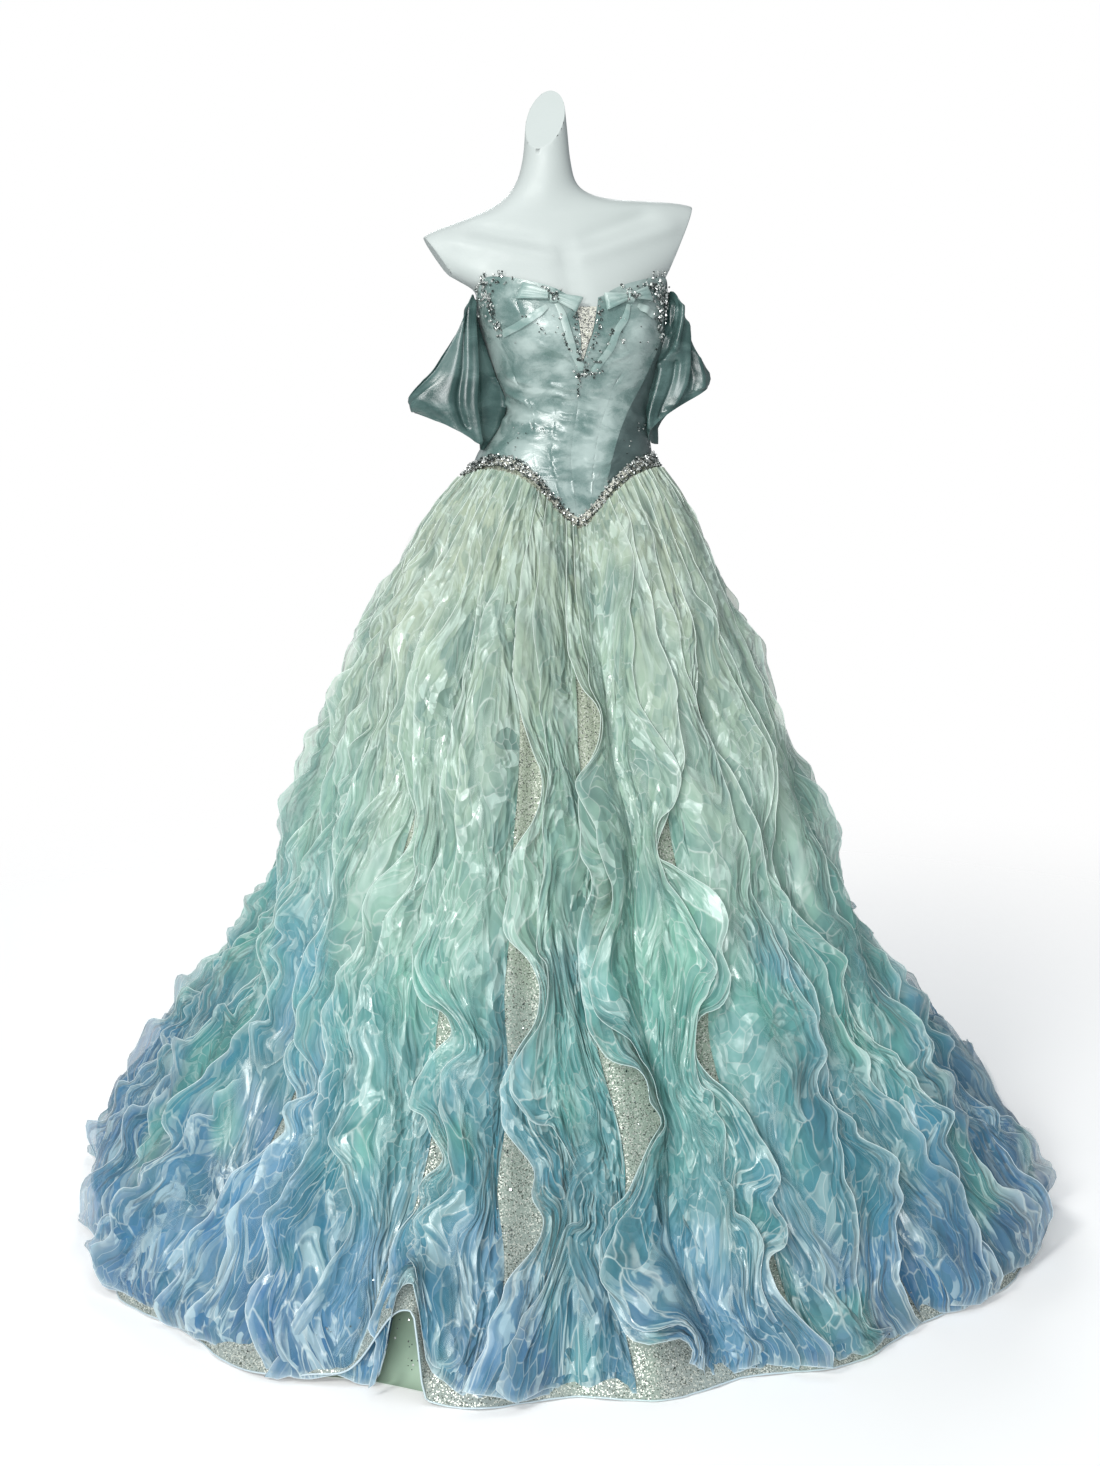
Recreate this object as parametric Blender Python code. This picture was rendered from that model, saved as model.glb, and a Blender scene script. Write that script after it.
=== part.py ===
"""Ball gown on a limbless dress form, standing on a round base.

Metres, +Z up.  The gown faces -Y and the base plate is centred on the origin.
Angles run round the body from the centre front: 0 is the front (-Y), positive
angles turn towards +X, 180 degrees is the centre back.

The gown is cut in pieces: eight bodice panels with a V-shaped mesh insert, a
back zip strip, a trim band over the dipped waist seam, two empty off-shoulder
sleeves, two ribbon bows, eight skirt gores and 26 organza strips, each sewn to
the gores along one long edge and left free and wavy along the other.
"""
import math

import bmesh
import bpy
import numpy as np
from mathutils import Matrix, Vector

NAME = "ball_gown"

# ---- walls and gaps ---------------------------------------------------------
BODICE_WALL = 0.0020
SKIRT_WALL = 0.0025
STRIP_WALL = 0.0020
SLEEVE_WALL = 0.0022
RIBBON_WALL = 0.0012
SEAM_GAP = 0.0004
WAIST_GAP = 0.0010
FORM_CLEARANCE = 0.0042

# ---- body the bodice is cut to: one row per height, top to bottom -----------
# height, centre_x, half_width, front_depth, back_depth
BODY = (
    (0.900, 0.000, 0.140, 0.118, 0.112),
    (1.000, 0.000, 0.138, 0.120, 0.110),
    (1.060, 0.001, 0.132, 0.113, 0.105),
    (1.100, 0.007, 0.124, 0.105, 0.098),
    (1.135, 0.017, 0.109, 0.096, 0.086),
    (1.165, 0.024, 0.102, 0.091, 0.081),
    (1.210, 0.021, 0.113, 0.102, 0.083),
    (1.275, 0.017, 0.130, 0.121, 0.088),
    (1.325, 0.012, 0.138, 0.116, 0.090),
    (1.360, 0.012, 0.142, 0.102, 0.090),
)
BODY_SQUARE = 2.35
BUST_SWELL = 0.010
BUST_ANGLE = 33.0
BUST_HEIGHT = 1.285
# the centre front line swings a little sideways at the waist: height, degrees
TWIST = ((0.90, 0.0), (1.05, -1.0), (1.165, -8.0), (1.25, -3.0), (1.33, 0.0), (1.40, 0.0))

# ---- edges of the bodice: degrees from the centre front, height --------------
NECK_EDGE = (
    (0.0, 1.322), (5.0, 1.324), (14.0, 1.336), (30.0, 1.347), (50.0, 1.353),
    (65.0, 1.350), (75.0, 1.334), (84.0, 1.310), (94.0, 1.299), (120.0, 1.299), (180.0, 1.296),
)
WAIST_EDGE = (
    (0.0, 1.013), (6.0, 1.028), (12.0, 1.046), (20.0, 1.066), (30.0, 1.083),
    (45.0, 1.093), (60.0, 1.094), (90.0, 1.078), (130.0, 1.066), (180.0, 1.050),
)
PLUNGE_BOTTOM = 1.225
PLUNGE_ANGLE = 4.9
INSERT_TOP = 1.312
PANEL_ROWS = 9

# ---- bodice seams, right-hand side; the left side mirrors them ---------------
# name, angle at the neck, at the bust, at the waist, at the lower edge
SEAM_HEIGHTS = (1.00, 1.06, 1.11, 1.165, 1.20, 1.26, 1.36)
SEAMS = {
    "princess": (5.5, 8.0, 12.0, 17.0, 21.0, 34.0, 42.0),
    "side_front": (13.0, 17.0, 25.0, 38.0, 48.0, 60.0, 66.0),
    "side_back": (100.0, 100.0, 101.0, 102.0, 102.0, 102.0, 103.0),
    "zip": (177.4, 177.4, 177.0, 176.6, 176.8, 177.2, 177.4),
}

# ---- skirt -------------------------------------------------------------------
GORES = 8
LINES_PER_GORE = 12
LINES = GORES * LINES_PER_GORE
# share of the way down, share of the way out to the hem (front, side, back)
DOWN = (0.0, 0.055, 0.14, 0.26, 0.38, 0.50, 0.62, 0.73, 0.83, 0.92, 1.0)
SPREAD_FRONT = (0.0, 0.080, 0.170, 0.280, 0.385, 0.485, 0.590, 0.695, 0.800, 0.905, 1.0)
SPREAD_SIDE = (0.0, 0.074, 0.148, 0.238, 0.320, 0.396, 0.485, 0.625, 0.790, 0.920, 1.0)
SPREAD_BACK = (0.0, 0.070, 0.140, 0.225, 0.305, 0.385, 0.475, 0.585, 0.715, 0.855, 1.0)
# degrees, hem radius
HEM = (
    (-180.0, 0.900), (-150.0, 0.860), (-120.0, 0.745), (-90.0, 0.676), (-60.0, 0.718),
    (-30.0, 0.720), (0.0, 0.694), (30.0, 0.695), (60.0, 0.708), (90.0, 0.682),
    (120.0, 0.760), (150.0, 0.860), (180.0, 0.900),
)
HEM_HEIGHT = 0.0035
FOLDS = 16
FOLD_DEPTH = 0.013
# one fold of the hem is caught up off the floor
ARCH_ANGLE = -33.75
ARCH_WIDTH = 7.5
ARCH_LIFT = 0.062
SWAY = 3.2
# the skirt leans a little sideways below the waist: share of the way down, x
SHIFT = ((0.0, 0.0), (0.08, -0.007), (0.25, -0.015), (0.50, -0.016), (0.72, -0.008), (0.85, 0.0), (1.0, 0.0))

# ---- organza strips: seam line on the gores, start row, width, phase ----------
STRIPS_RIGHT = (
    (49, 1, 1.00, 0.0), (52, 0, 1.10, 1.9), (56, 1, 0.92, 3.7), (59, 0, 1.12, 5.2),
    (62, 0, 1.05, 0.8), (66, 1, 0.95, 2.6), (69, 0, 1.10, 4.4), (73, 1, 0.96, 6.0),
    (76, 0, 1.08, 1.3), (80, 1, 0.94, 3.1), (83, 0, 1.04, 4.9), (87, 0, 1.06, 0.4),
    (91, 0, 1.02, 2.2),
)
STRIPS_LEFT = (
    (47, 0, 1.06, 3.3), (43, 1, 0.96, 5.0), (40, 0, 1.08, 0.6), (37, 0, 1.04, 2.1),
    (33, 1, 0.94, 4.0), (30, 0, 1.12, 5.7), (26, 1, 0.95, 1.1), (23, 0, 1.10, 2.9),
    (19, 1, 0.94, 4.6), (16, 0, 1.06, 0.2), (13, 1, 1.04, 1.7), (9, 0, 1.06, 3.5),
    (5, 0, 1.02, 5.3),
)
STRIP_WAVES = 4.5
# rows of a strip within each row of the gores
STRIP_ROWS = (1, 1, 2, 2, 2, 3, 3, 3, 2, 2)
# share of the way down: strip width in degrees, rise of its free edge, wave depth
STRIP_DOWN = (0.0, 0.10, 0.25, 0.50, 0.75, 1.0)
STRIP_ANGLE = (16.0, 16.5, 16.5, 15.5, 13.8, 12.6)
STRIP_RISE = (0.0055, 0.011, 0.021, 0.030, 0.034, 0.034)
STRIP_WAVE = (0.0004, 0.0015, 0.0070, 0.0130, 0.0150, 0.0150)

# ---- sleeves: hang empty from the top corners, outer end lower than the inner -
SLEEVE_STEPS = 20
SLEEVE_ROWS = 6
# height, distance of the inner side, distance of the outer side from the centre plane
SLEEVE_RIGHT = (
    (1.100, 0.141, 0.165), (1.150, 0.139, 0.196), (1.205, 0.143, 0.222), (1.240, 0.151, 0.212),
    (1.270, 0.156, 0.201), (1.300, 0.157, 0.192), (1.345, 0.150, 0.174),
)
SLEEVE_LEFT = (
    (1.100, 0.122, 0.150), (1.145, 0.120, 0.205), (1.172, 0.120, 0.230), (1.226, 0.123, 0.206),
    (1.262, 0.127, 0.190), (1.300, 0.131, 0.172), (1.345, 0.129, 0.154),
)
# height of the upper edge at the inner and the outer side, then of the lower edge
SLEEVE_EDGES = {"right": (1.302, 1.222, 1.114, 1.198), "left": (1.298, 1.182, 1.108, 1.162)}
SLEEVE_FRONT = {"right": -0.024, "left": -0.008}
# how far a side is drawn in towards the waist, at what height, over what height
SLEEVE_TUCK = {"right": (0.040, 1.145, 0.055), "left": (0.042, 1.172, 0.042)}

# ---- ribbon bows: x and z on the bodice front --------------------------------
# name, knot x, knot z
KNOTS = (("left", -0.0345, 1.3245), ("right", 0.0745, 1.3245))
# bow, name, end x, end z, half width
LOOPS = (
    ("left", "outer", -0.0760, 1.3330, 0.0105),
    ("left", "inner", 0.0010, 1.3120, 0.0100),
    ("right", "inner", 0.0400, 1.3180, 0.0095),
    ("right", "outer", 0.1040, 1.3290, 0.0100),
)
# bow, name, then points down the tail as x, z
TAILS = (
    ("left", "outer", ((-0.0430, 1.3090), (-0.0680, 1.2930), (-0.0945, 1.2755))),
    ("left", "inner", ((-0.0310, 1.3080), (-0.0240, 1.2850), (-0.0150, 1.2580), (0.0020, 1.2290))),
    ("right", "outer", ((0.0850, 1.3100), (0.0960, 1.3050), (0.1080, 1.2980))),
    ("right", "inner", ((0.0700, 1.3080), (0.0590, 1.2850), (0.0430, 1.2580), (0.0210, 1.2290))),
)
TAIL_HALF_WIDTH = 0.0048

# ---- dress form --------------------------------------------------------------
FORM_BOTTOM = 0.940
# height, centre_x, centre_y, half_width, front_depth, back_depth, tilt, square
FORM_TOP = (
    (1.318, 0.012, 0.000, 0.132, 0.107, 0.084, 0.5, 2.30),
    (1.338, 0.012, 0.000, 0.137, 0.093, 0.083, 1.6, 2.20),
    (1.360, 0.011, 0.002, 0.162, 0.080, 0.080, 3.6, 2.10),
    (1.385, 0.009, 0.004, 0.190, 0.066, 0.072, 5.6, 2.00),
    (1.408, 0.007, 0.006, 0.208, 0.054, 0.062, 6.3, 2.00),
    (1.426, 0.004, 0.008, 0.207, 0.046, 0.054, 6.3, 2.00),
    (1.439, 0.000, 0.009, 0.180, 0.041, 0.047, 6.3, 2.00),
    (1.448, -0.006, 0.010, 0.136, 0.038, 0.044, 6.0, 2.00),
    (1.457, -0.012, 0.011, 0.093, 0.037, 0.042, 5.0, 2.00),
    (1.469, -0.016, 0.011, 0.062, 0.036, 0.040, 3.0, 2.00),
    (1.488, -0.018, 0.010, 0.043, 0.035, 0.037, 0.0, 2.00),
    (1.520, -0.018, 0.008, 0.034, 0.033, 0.034, -1.0, 2.00),
    (1.560, -0.019, 0.005, 0.030, 0.030, 0.031, -2.0, 2.00),
    (1.600, -0.021, 0.002, 0.027, 0.027, 0.028, -3.0, 2.00),
    (1.650, -0.024, -0.001, 0.023, 0.024, 0.025, -3.0, 2.00),
)
FORM_STEPS = 24
FORM_RINGS = (FORM_BOTTOM, 0.985, 1.03, 1.07, 1.10, 1.12, 1.137, 1.152, 1.167, 1.183, 1.203, 1.23, 1.26, 1.29)
# flat cuts of the form: name, point on the cut, way it faces
FORM_CUTS = (
    ("cut_shoulder_left", (-0.170, 0.0, 1.371), (-0.823, 0.0, -0.568)),
    ("cut_shoulder_right", (0.172, 0.0, 1.404), (0.903, 0.0, -0.430)),
    ("cut_neck", (-0.021, 0.002, 1.590), (-0.459, -0.720, 0.520)),
)
POLE_RADIUS = 0.0125
BASE_RADIUS = 0.160
BASE_THICK = 0.012

COLOURS = {
    "satin": (0.36, 0.55, 0.53, 1.0),
    "satin_dark": (0.12, 0.24, 0.23, 1.0),
    "mesh": (0.62, 0.62, 0.52, 1.0),
    "trim": (0.45, 0.47, 0.45, 1.0),
    "tulle": (0.52, 0.58, 0.47, 1.0),
    "organza": (0.38, 0.60, 0.58, 1.0),
    "form": (0.74, 0.80, 0.78, 1.0),
    "metal": (0.55, 0.56, 0.57, 1.0),
}


# ---- small helpers -------------------------------------------------------------
def smooth(xs, ys, x):
    """Cubic curve through a short table."""
    xs = np.asarray(xs, float)
    ys = np.asarray(ys, float)
    x = np.asarray(x, float)
    slopes = np.gradient(ys, xs)
    i = np.clip(np.searchsorted(xs, x, side="right") - 1, 0, len(xs) - 2)
    step = xs[i + 1] - xs[i]
    u = np.clip((x - xs[i]) / step, 0.0, 1.0)
    a = (2 * u**3 - 3 * u**2 + 1) * ys[i]
    b = (u**3 - 2 * u**2 + u) * step * slopes[i]
    c = (3 * u**2 - 2 * u**3) * ys[i + 1]
    d = (u**3 - u**2) * step * slopes[i + 1]
    return a + b + c + d


def column(table, index):
    return [row[index] for row in table]


def wrapped(degrees):
    """Degrees folded into -180..180."""
    return (np.asarray(degrees, float) + 180.0) % 360.0 - 180.0


def power(value, exponent):
    return np.sign(value) * np.abs(value) ** exponent


def unit(vectors):
    length = np.linalg.norm(vectors, axis=-1, keepdims=True)
    return vectors / np.maximum(length, 1e-12)


def stack(x, y, z):
    x, y, z = np.broadcast_arrays(x, y, z)
    return np.stack([x, y, z], axis=-1)


# ---- the body and the skirt as surfaces ------------------------------------------
def body_plain(degrees, height):
    """Point on the body surface."""
    heights = column(BODY, 0)
    centre = smooth(heights, column(BODY, 1), height)
    half = smooth(heights, column(BODY, 2), height)
    front = smooth(heights, column(BODY, 3), height)
    back = smooth(heights, column(BODY, 4), height)
    angle = np.radians(degrees)
    side = power(np.sin(angle), 2.0 / BODY_SQUARE)
    ahead = power(np.cos(angle), 2.0 / BODY_SQUARE)
    depth = np.where(ahead > 0.0, front, back)
    apart = (np.abs(wrapped(degrees)) - BUST_ANGLE) / 21.0
    swell = BUST_SWELL * np.exp(-apart**2 - ((height - BUST_HEIGHT) / 0.045) ** 2)
    return stack(centre + half * side, -depth * ahead - swell, height)


def body_point(degrees, height, out=0.0):
    """Point at a distance out from the body surface."""
    degrees = np.asarray(degrees, float)
    height = np.asarray(height, float)
    across = body_plain(degrees + 1.5, height) - body_plain(degrees - 1.5, height)
    down = body_plain(degrees, height - 0.004) - body_plain(degrees, height + 0.004)
    normal = unit(np.cross(down, across))
    return body_plain(degrees, height) + normal * np.asarray(out, float)[..., None]


def neck_edge(degrees):
    return smooth(column(NECK_EDGE, 0), column(NECK_EDGE, 1), np.abs(wrapped(degrees)))


def waist_edge(degrees):
    return smooth(column(WAIST_EDGE, 0), column(WAIST_EDGE, 1), np.abs(wrapped(degrees)))


def skirt_point(degrees, down):
    """Point on the outer face of the gores."""
    degrees = np.asarray(degrees, float)
    down = np.asarray(down, float)
    around = np.abs(wrapped(degrees))
    top_height = waist_edge(degrees) - SEAM_GAP
    top = body_point(degrees, top_height, BODICE_WALL)
    front = smooth(DOWN, SPREAD_FRONT, down)
    side = smooth(DOWN, SPREAD_SIDE, down)
    back = smooth(DOWN, SPREAD_BACK, down)
    to_side = np.clip((around - 20.0) / 60.0, 0.0, 1.0)
    to_back = np.clip((around - 100.0) / 60.0, 0.0, 1.0)
    spread = front + (side - front) * to_side + (back - side) * to_back
    hem = smooth(column(HEM, 0), column(HEM, 1), wrapped(degrees))
    angle = np.radians(degrees)
    fold = np.cos(FOLDS * angle + 0.6 * np.sin(3.0 * angle + 1.0) + 0.4 * np.sin(5.0 * angle))
    reach = hem * spread + FOLD_DEPTH * fold * down**1.2
    x = top[..., 0] * (1.0 - spread) + np.sin(angle) * reach + smooth(column(SHIFT, 0), column(SHIFT, 1), down)
    y = top[..., 1] * (1.0 - spread) - np.cos(angle) * reach
    near = np.exp(-((wrapped(degrees - ARCH_ANGLE)) / ARCH_WIDTH) ** 2)
    lift = ARCH_LIFT * near * np.clip((down - 0.80) / 0.20, 0.0, 1.0) ** 2
    z = top_height * (1.0 - down) + HEM_HEIGHT * down + lift
    return stack(x, y, z)


def line_degrees(line, down):
    """Where a seam line runs: straight at the waist, swaying lower down."""
    start = -180.0 + 360.0 * np.asarray(line, float) / LINES
    down = np.asarray(down, float)
    fade = np.sin(np.radians(start)) ** 2
    sway = SWAY * np.sin(5.2 * down + 2.0 * np.sin(np.radians(start) * 2.0))
    return start + sway * down * (0.4 + 0.6 * fade)


# ---- building solids ---------------------------------------------------------------
def material(slot):
    found = bpy.data.materials.get(slot)
    if found:
        return found
    made = bpy.data.materials.new(slot)
    made.use_nodes = True
    shader = made.node_tree.nodes["Principled BSDF"]
    shader.inputs["Base Color"].default_value = COLOURS[slot]
    shader.inputs["Roughness"].default_value = 0.25 if slot == "metal" else 0.55
    shader.inputs["Metallic"].default_value = 1.0 if slot == "metal" else 0.0
    made.diffuse_color = COLOURS[slot]
    return made


def add_object(name, points, faces, slot, is_smooth=True):
    mesh = bpy.data.meshes.new(name)
    mesh.from_pydata([tuple(p) for p in points], [], faces)
    work = bmesh.new()
    work.from_mesh(mesh)
    bmesh.ops.recalc_face_normals(work, faces=work.faces)
    work.to_mesh(mesh)
    work.free()
    mesh.polygons.foreach_set("use_smooth", [is_smooth] * len(mesh.polygons))
    mesh.materials.append(material(slot))
    made = bpy.data.objects.new(name, mesh)
    parts.objects.link(made)
    return made


def grid_normals(grid, wrap):
    """Normals of a grid whose first index runs round and second runs down."""
    if wrap:
        across = np.roll(grid, -1, axis=0) - np.roll(grid, 1, axis=0)
    else:
        across = np.gradient(grid, axis=0)
    down = np.gradient(grid, axis=1)
    return unit(np.cross(down, across))


def two_sided(name, outer, inner, slot, wrap=False):
    """Closed thin solid between two matching grids of points."""
    rows, steps = outer.shape[0], outer.shape[1]
    points = np.concatenate([outer.reshape(-1, 3), inner.reshape(-1, 3)])
    half = rows * steps
    faces = []

    def at(i, j, side):
        return (i % rows) * steps + j + side * half

    def quad(a, b, c, d):
        faces.append((a, b, c))
        faces.append((a, c, d))

    last = rows if wrap else rows - 1
    for i in range(last):
        for j in range(steps - 1):
            quad(at(i, j, 0), at(i, j + 1, 0), at(i + 1, j + 1, 0), at(i + 1, j, 0))
            quad(at(i, j, 1), at(i + 1, j, 1), at(i + 1, j + 1, 1), at(i, j + 1, 1))
        quad(at(i, 0, 0), at(i + 1, 0, 0), at(i + 1, 0, 1), at(i, 0, 1))
        quad(at(i, steps - 1, 0), at(i, steps - 1, 1), at(i + 1, steps - 1, 1), at(i + 1, steps - 1, 0))
    if not wrap:
        for j in range(steps - 1):
            quad(at(0, j, 0), at(0, j, 1), at(0, j + 1, 1), at(0, j + 1, 0))
            quad(at(rows - 1, j, 0), at(rows - 1, j + 1, 0), at(rows - 1, j + 1, 1), at(rows - 1, j, 1))
    return add_object(name, points, faces, slot)


def body_panel(name, left_edge, right_edge, steps, rows, slot, wall=BODICE_WALL, top=neck_edge):
    """Piece of the bodice between two seams, each given as degrees at a height."""
    share = np.linspace(0.0, 1.0, steps + 1)[:, None]
    drop = np.linspace(0.0, 1.0, rows + 1)[None, :]
    height = np.broadcast_to(1.35 - 0.30 * drop, (steps + 1, rows + 1))
    for _ in range(40):
        start = left_edge(height)
        end = right_edge(height)
        degrees = start + (end - start) * share
        goal = top(degrees) * (1.0 - drop) + (waist_edge(degrees) + WAIST_GAP) * drop
        height = 0.5 * height + 0.5 * goal
    inner = body_point(degrees, height, 0.0)
    outer = body_point(degrees, height, wall)
    return two_sided(name, outer, inner, slot)


def seam(name, sign):
    """Seam as a function giving degrees at a height."""
    def run(height):
        twist = smooth(column(TWIST, 0), column(TWIST, 1), height)
        back = 1.0 if name in ("princess", "side_front") else 0.0
        return sign * smooth(SEAM_HEIGHTS, SEAMS[name], height) + twist * back
    return run


def centre_front(sign):
    def run(height):
        twist = smooth(column(TWIST, 0), column(TWIST, 1), height)
        opening = PLUNGE_ANGLE * np.clip((height - PLUNGE_BOTTOM) / (1.322 - PLUNGE_BOTTOM), 0.0, 1.0)
        return sign * opening + twist
    return run


def moved(edge, gap):
    """Edge moved round by a distance, to leave room for the seam."""
    def run(height):
        return edge(height) + np.degrees(gap / 0.11)
    return run


def build_bodice():
    half = SEAM_GAP * 0.75
    for side, sign in (("right", 1.0), ("left", -1.0)):
        edges = [
            centre_front(sign),
            seam("princess", sign),
            seam("side_front", sign),
            seam("side_back", sign),
            seam("zip", sign),
        ]
        names = ("front", "side_front", "side", "back")
        sizes = (3, 3, 7, 6)
        for name, size, first, second in zip(names, sizes, edges, edges[1:]):
            low, high = (first, second) if sign > 0 else (second, first)
            body_panel(
                f"bodice_{name}_{side}", moved(low, half), moved(high, -half),
                size, PANEL_ROWS, "satin",
            )
    build_insert()
    build_zip()


def build_insert():
    """Glitter mesh filling the V at the centre front."""
    share = np.linspace(0.0, 1.0, 4)[:, None]
    height = np.broadcast_to(np.linspace(INSERT_TOP, PLUNGE_BOTTOM + 0.012, 6)[None, :], (4, 6))
    gap = np.degrees(SEAM_GAP / 0.10)
    start = centre_front(-1.0)(height) + gap
    end = centre_front(1.0)(height) - gap
    degrees = start + (end - start) * share
    inner = body_point(degrees, height, 0.0)
    outer = body_point(degrees, height, 0.0012)
    two_sided("plunge_insert", outer, inner, "mesh")


def build_zip():
    """Closed zip strip at the centre back."""
    gap = SEAM_GAP * 0.75
    start = moved(seam("zip", 1.0), gap)
    end = moved(lambda height: 360.0 + seam("zip", -1.0)(height), -gap)
    body_panel("back_zip", start, end, 2, PANEL_ROWS, "satin", wall=0.0015)


def build_waist_trim():
    """Band over the waist seam, dipping to a point at the centre front."""
    degrees = np.concatenate([np.linspace(-180.0, -60.0, 11)[:-1], np.linspace(-60.0, 60.0, 21)[:-1],
                              np.linspace(60.0, 180.0, 11)[:-1]])[:, None]
    centre = waist_edge(degrees)
    drop = np.array([0.0055, -0.0055])[None, :]
    clear = BODICE_WALL + np.array([0.0010, 0.0062])[None, :]
    inner = body_point(degrees, centre + drop, clear)
    outer = body_point(degrees, centre + drop, clear + 0.0020)
    two_sided("waist_trim", outer, inner, "trim", wrap=True)


def gore_grid():
    """Outer points and outward normals of every seam line, top to hem."""
    rows = np.array(DOWN)
    lines = np.arange(LINES)
    degrees = line_degrees(lines[:, None], rows[None, :])
    outer = skirt_point(degrees, rows[None, :])
    across = np.roll(outer, -1, axis=0) - np.roll(outer, 1, axis=0)
    down = np.gradient(outer, axis=1)
    return outer, unit(np.cross(down, across))


def build_gores(outer, normals):
    for gore in range(GORES):
        index = [(gore * LINES_PER_GORE + i) % LINES for i in range(LINES_PER_GORE + 1)]
        face = outer[index].copy()
        for end, step in ((0, 1), (-1, -2)):
            towards = unit(face[step] - face[end])
            face[end] += towards * SEAM_GAP * 0.6
        inner = face - normals[index] * SKIRT_WALL
        inner[..., 2] = np.maximum(inner[..., 2], 0.0)
        face[..., 2] = np.maximum(face[..., 2], 0.0)
        two_sided(f"skirt_gore_{gore + 1}", face, inner, "tulle")


def build_strip(name, line, first, width, phase, lean, outer, normals):
    """Organza strip sewn along one gore line, its other edge free and wavy."""
    last = len(DOWN) - 1
    marks = []
    for row in range(first, last):
        marks.extend(row + np.arange(STRIP_ROWS[row]) / STRIP_ROWS[row])
    marks[0] = first + (0.30 if first == 0 else 0.0)
    index = np.array(marks + [last - 0.08])
    low = np.floor(index + 1e-9).astype(int)
    part = np.maximum(index - low, 0.0)[:, None]
    root = outer[line][low] * (1.0 - part) + outer[line][np.minimum(low + 1, last)] * part
    facing = unit(normals[line][low] * (1.0 - part) + normals[line][np.minimum(low + 1, last)] * part)
    down = np.interp(index, np.arange(last + 1), DOWN)
    run = np.concatenate([[0.0], np.cumsum(np.linalg.norm(np.diff(root, axis=0), axis=1))])
    wave = np.sin(2.0 * np.pi * STRIP_WAVES * run / run[-1] + phase)
    swing = np.cos(2.0 * np.pi * STRIP_WAVES * run / run[-1] + phase)
    degrees = line_degrees(line, down)
    span = np.interp(down, STRIP_DOWN, STRIP_ANGLE) * width
    rise = np.interp(down, STRIP_DOWN, STRIP_RISE)
    depth = np.interp(down, STRIP_DOWN, STRIP_WAVE)
    middle_at = degrees + lean * span * 0.5
    edge_at = degrees + lean * span * (1.0 + 0.09 * swing * np.minimum(depth / 0.012, 1.0))
    columns = [root + facing * (SEAM_GAP + 0.0001)]
    for at, share, sway in ((middle_at, 0.56, 0.15), (edge_at, 1.0, 1.0)):
        here = skirt_point(at, down)
        beside = skirt_point(at + 1.0, down) - skirt_point(at - 1.0, down)
        below = skirt_point(at, np.minimum(down + 0.01, 1.0)) - skirt_point(at, down - 0.01)
        out = unit(np.cross(below, beside))
        columns.append(here + out * (rise * share + depth * sway * wave + 0.0006)[:, None])
    lower = np.stack(columns if lean > 0 else columns[::-1])
    upper = lower + grid_normals(lower, False) * STRIP_WALL
    lift = np.maximum(0.0, 0.0006 - np.minimum(lower[..., 2], upper[..., 2]))
    lower[..., 2] += lift
    upper[..., 2] += lift
    two_sided(name, upper, lower, "organza")


def build_skirt():
    outer, normals = gore_grid()
    build_gores(outer, normals)
    for side, lean, table in (("right", 1.0, STRIPS_RIGHT), ("left", -1.0, STRIPS_LEFT)):
        for number, (line, first, width, phase) in enumerate(table, 1):
            build_strip(f"strip_{side}_{number:02d}", line, first, width, phase, lean, outer, normals)


def build_sleeve(side, sign):
    """Empty satin sleeve: a short tube, flat front to back, wide outwards."""
    turn = np.linspace(0.0, 2.0 * np.pi, SLEEVE_STEPS, endpoint=False)[:, None]
    drop = np.linspace(0.0, 1.0, SLEEVE_ROWS + 1)[None, :]
    outward = (1.0 - np.cos(turn)) / 2.0
    ahead = np.sin(turn)
    top_in, top_out, low_in, low_out = SLEEVE_EDGES[side]
    lift = 0.052 * np.clip(ahead, 0.0, 1.0) * (1.0 - outward)
    top = top_in + (top_out - top_in) * outward**2.4 + lift
    low = low_in + (low_out - low_in) * outward
    z = top + (low - top) * drop
    table = SLEEVE_RIGHT if sign > 0 else SLEEVE_LEFT
    inner_x = smooth(column(table, 0), column(table, 1), z)
    reach = smooth(column(table, 0), column(table, 2), z) - inner_x
    pleat = 0.0040 * np.cos(4.0 * turn + 1.2 * drop + 0.5) * np.sin(np.pi * (0.15 + 0.7 * drop))
    tuck_depth, tuck_height, tuck_spread = SLEEVE_TUCK[side]
    waist = np.exp(-((z - tuck_height) / tuck_spread) ** 2)
    tuck = tuck_depth * waist * np.clip(sign * ahead, 0.0, 1.0) * (1.0 - outward)
    x = inner_x - tuck + (reach + pleat) * outward + 0.35 * pleat
    y = SLEEVE_FRONT[side] - (0.040 + 1.4 * pleat - 0.008 * outward) * ahead
    outer = stack(sign * x, y, z)
    if sign < 0:
        outer = outer[::-1]
    inner = outer - grid_normals(outer, True) * SLEEVE_WALL
    flip = -1.0 if np.sum((outer - outer.mean(axis=(0, 1))) * (outer - inner)) < 0.0 else 1.0
    inner = outer - grid_normals(outer, True) * SLEEVE_WALL * flip
    two_sided(f"sleeve_{side}", outer, inner, "satin_dark", wrap=True)


def front_place(x, z, lift):
    """Point of the bodice front at a given x and z, lifted off the panels."""
    x = np.asarray(x, float)
    z = np.asarray(z, float)
    degrees = np.zeros(np.broadcast(x, z).shape)
    for _ in range(60):
        degrees = degrees + (x - body_plain(degrees, z)[..., 0]) * 300.0
    return body_point(degrees, z, BODICE_WALL + lift)


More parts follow.
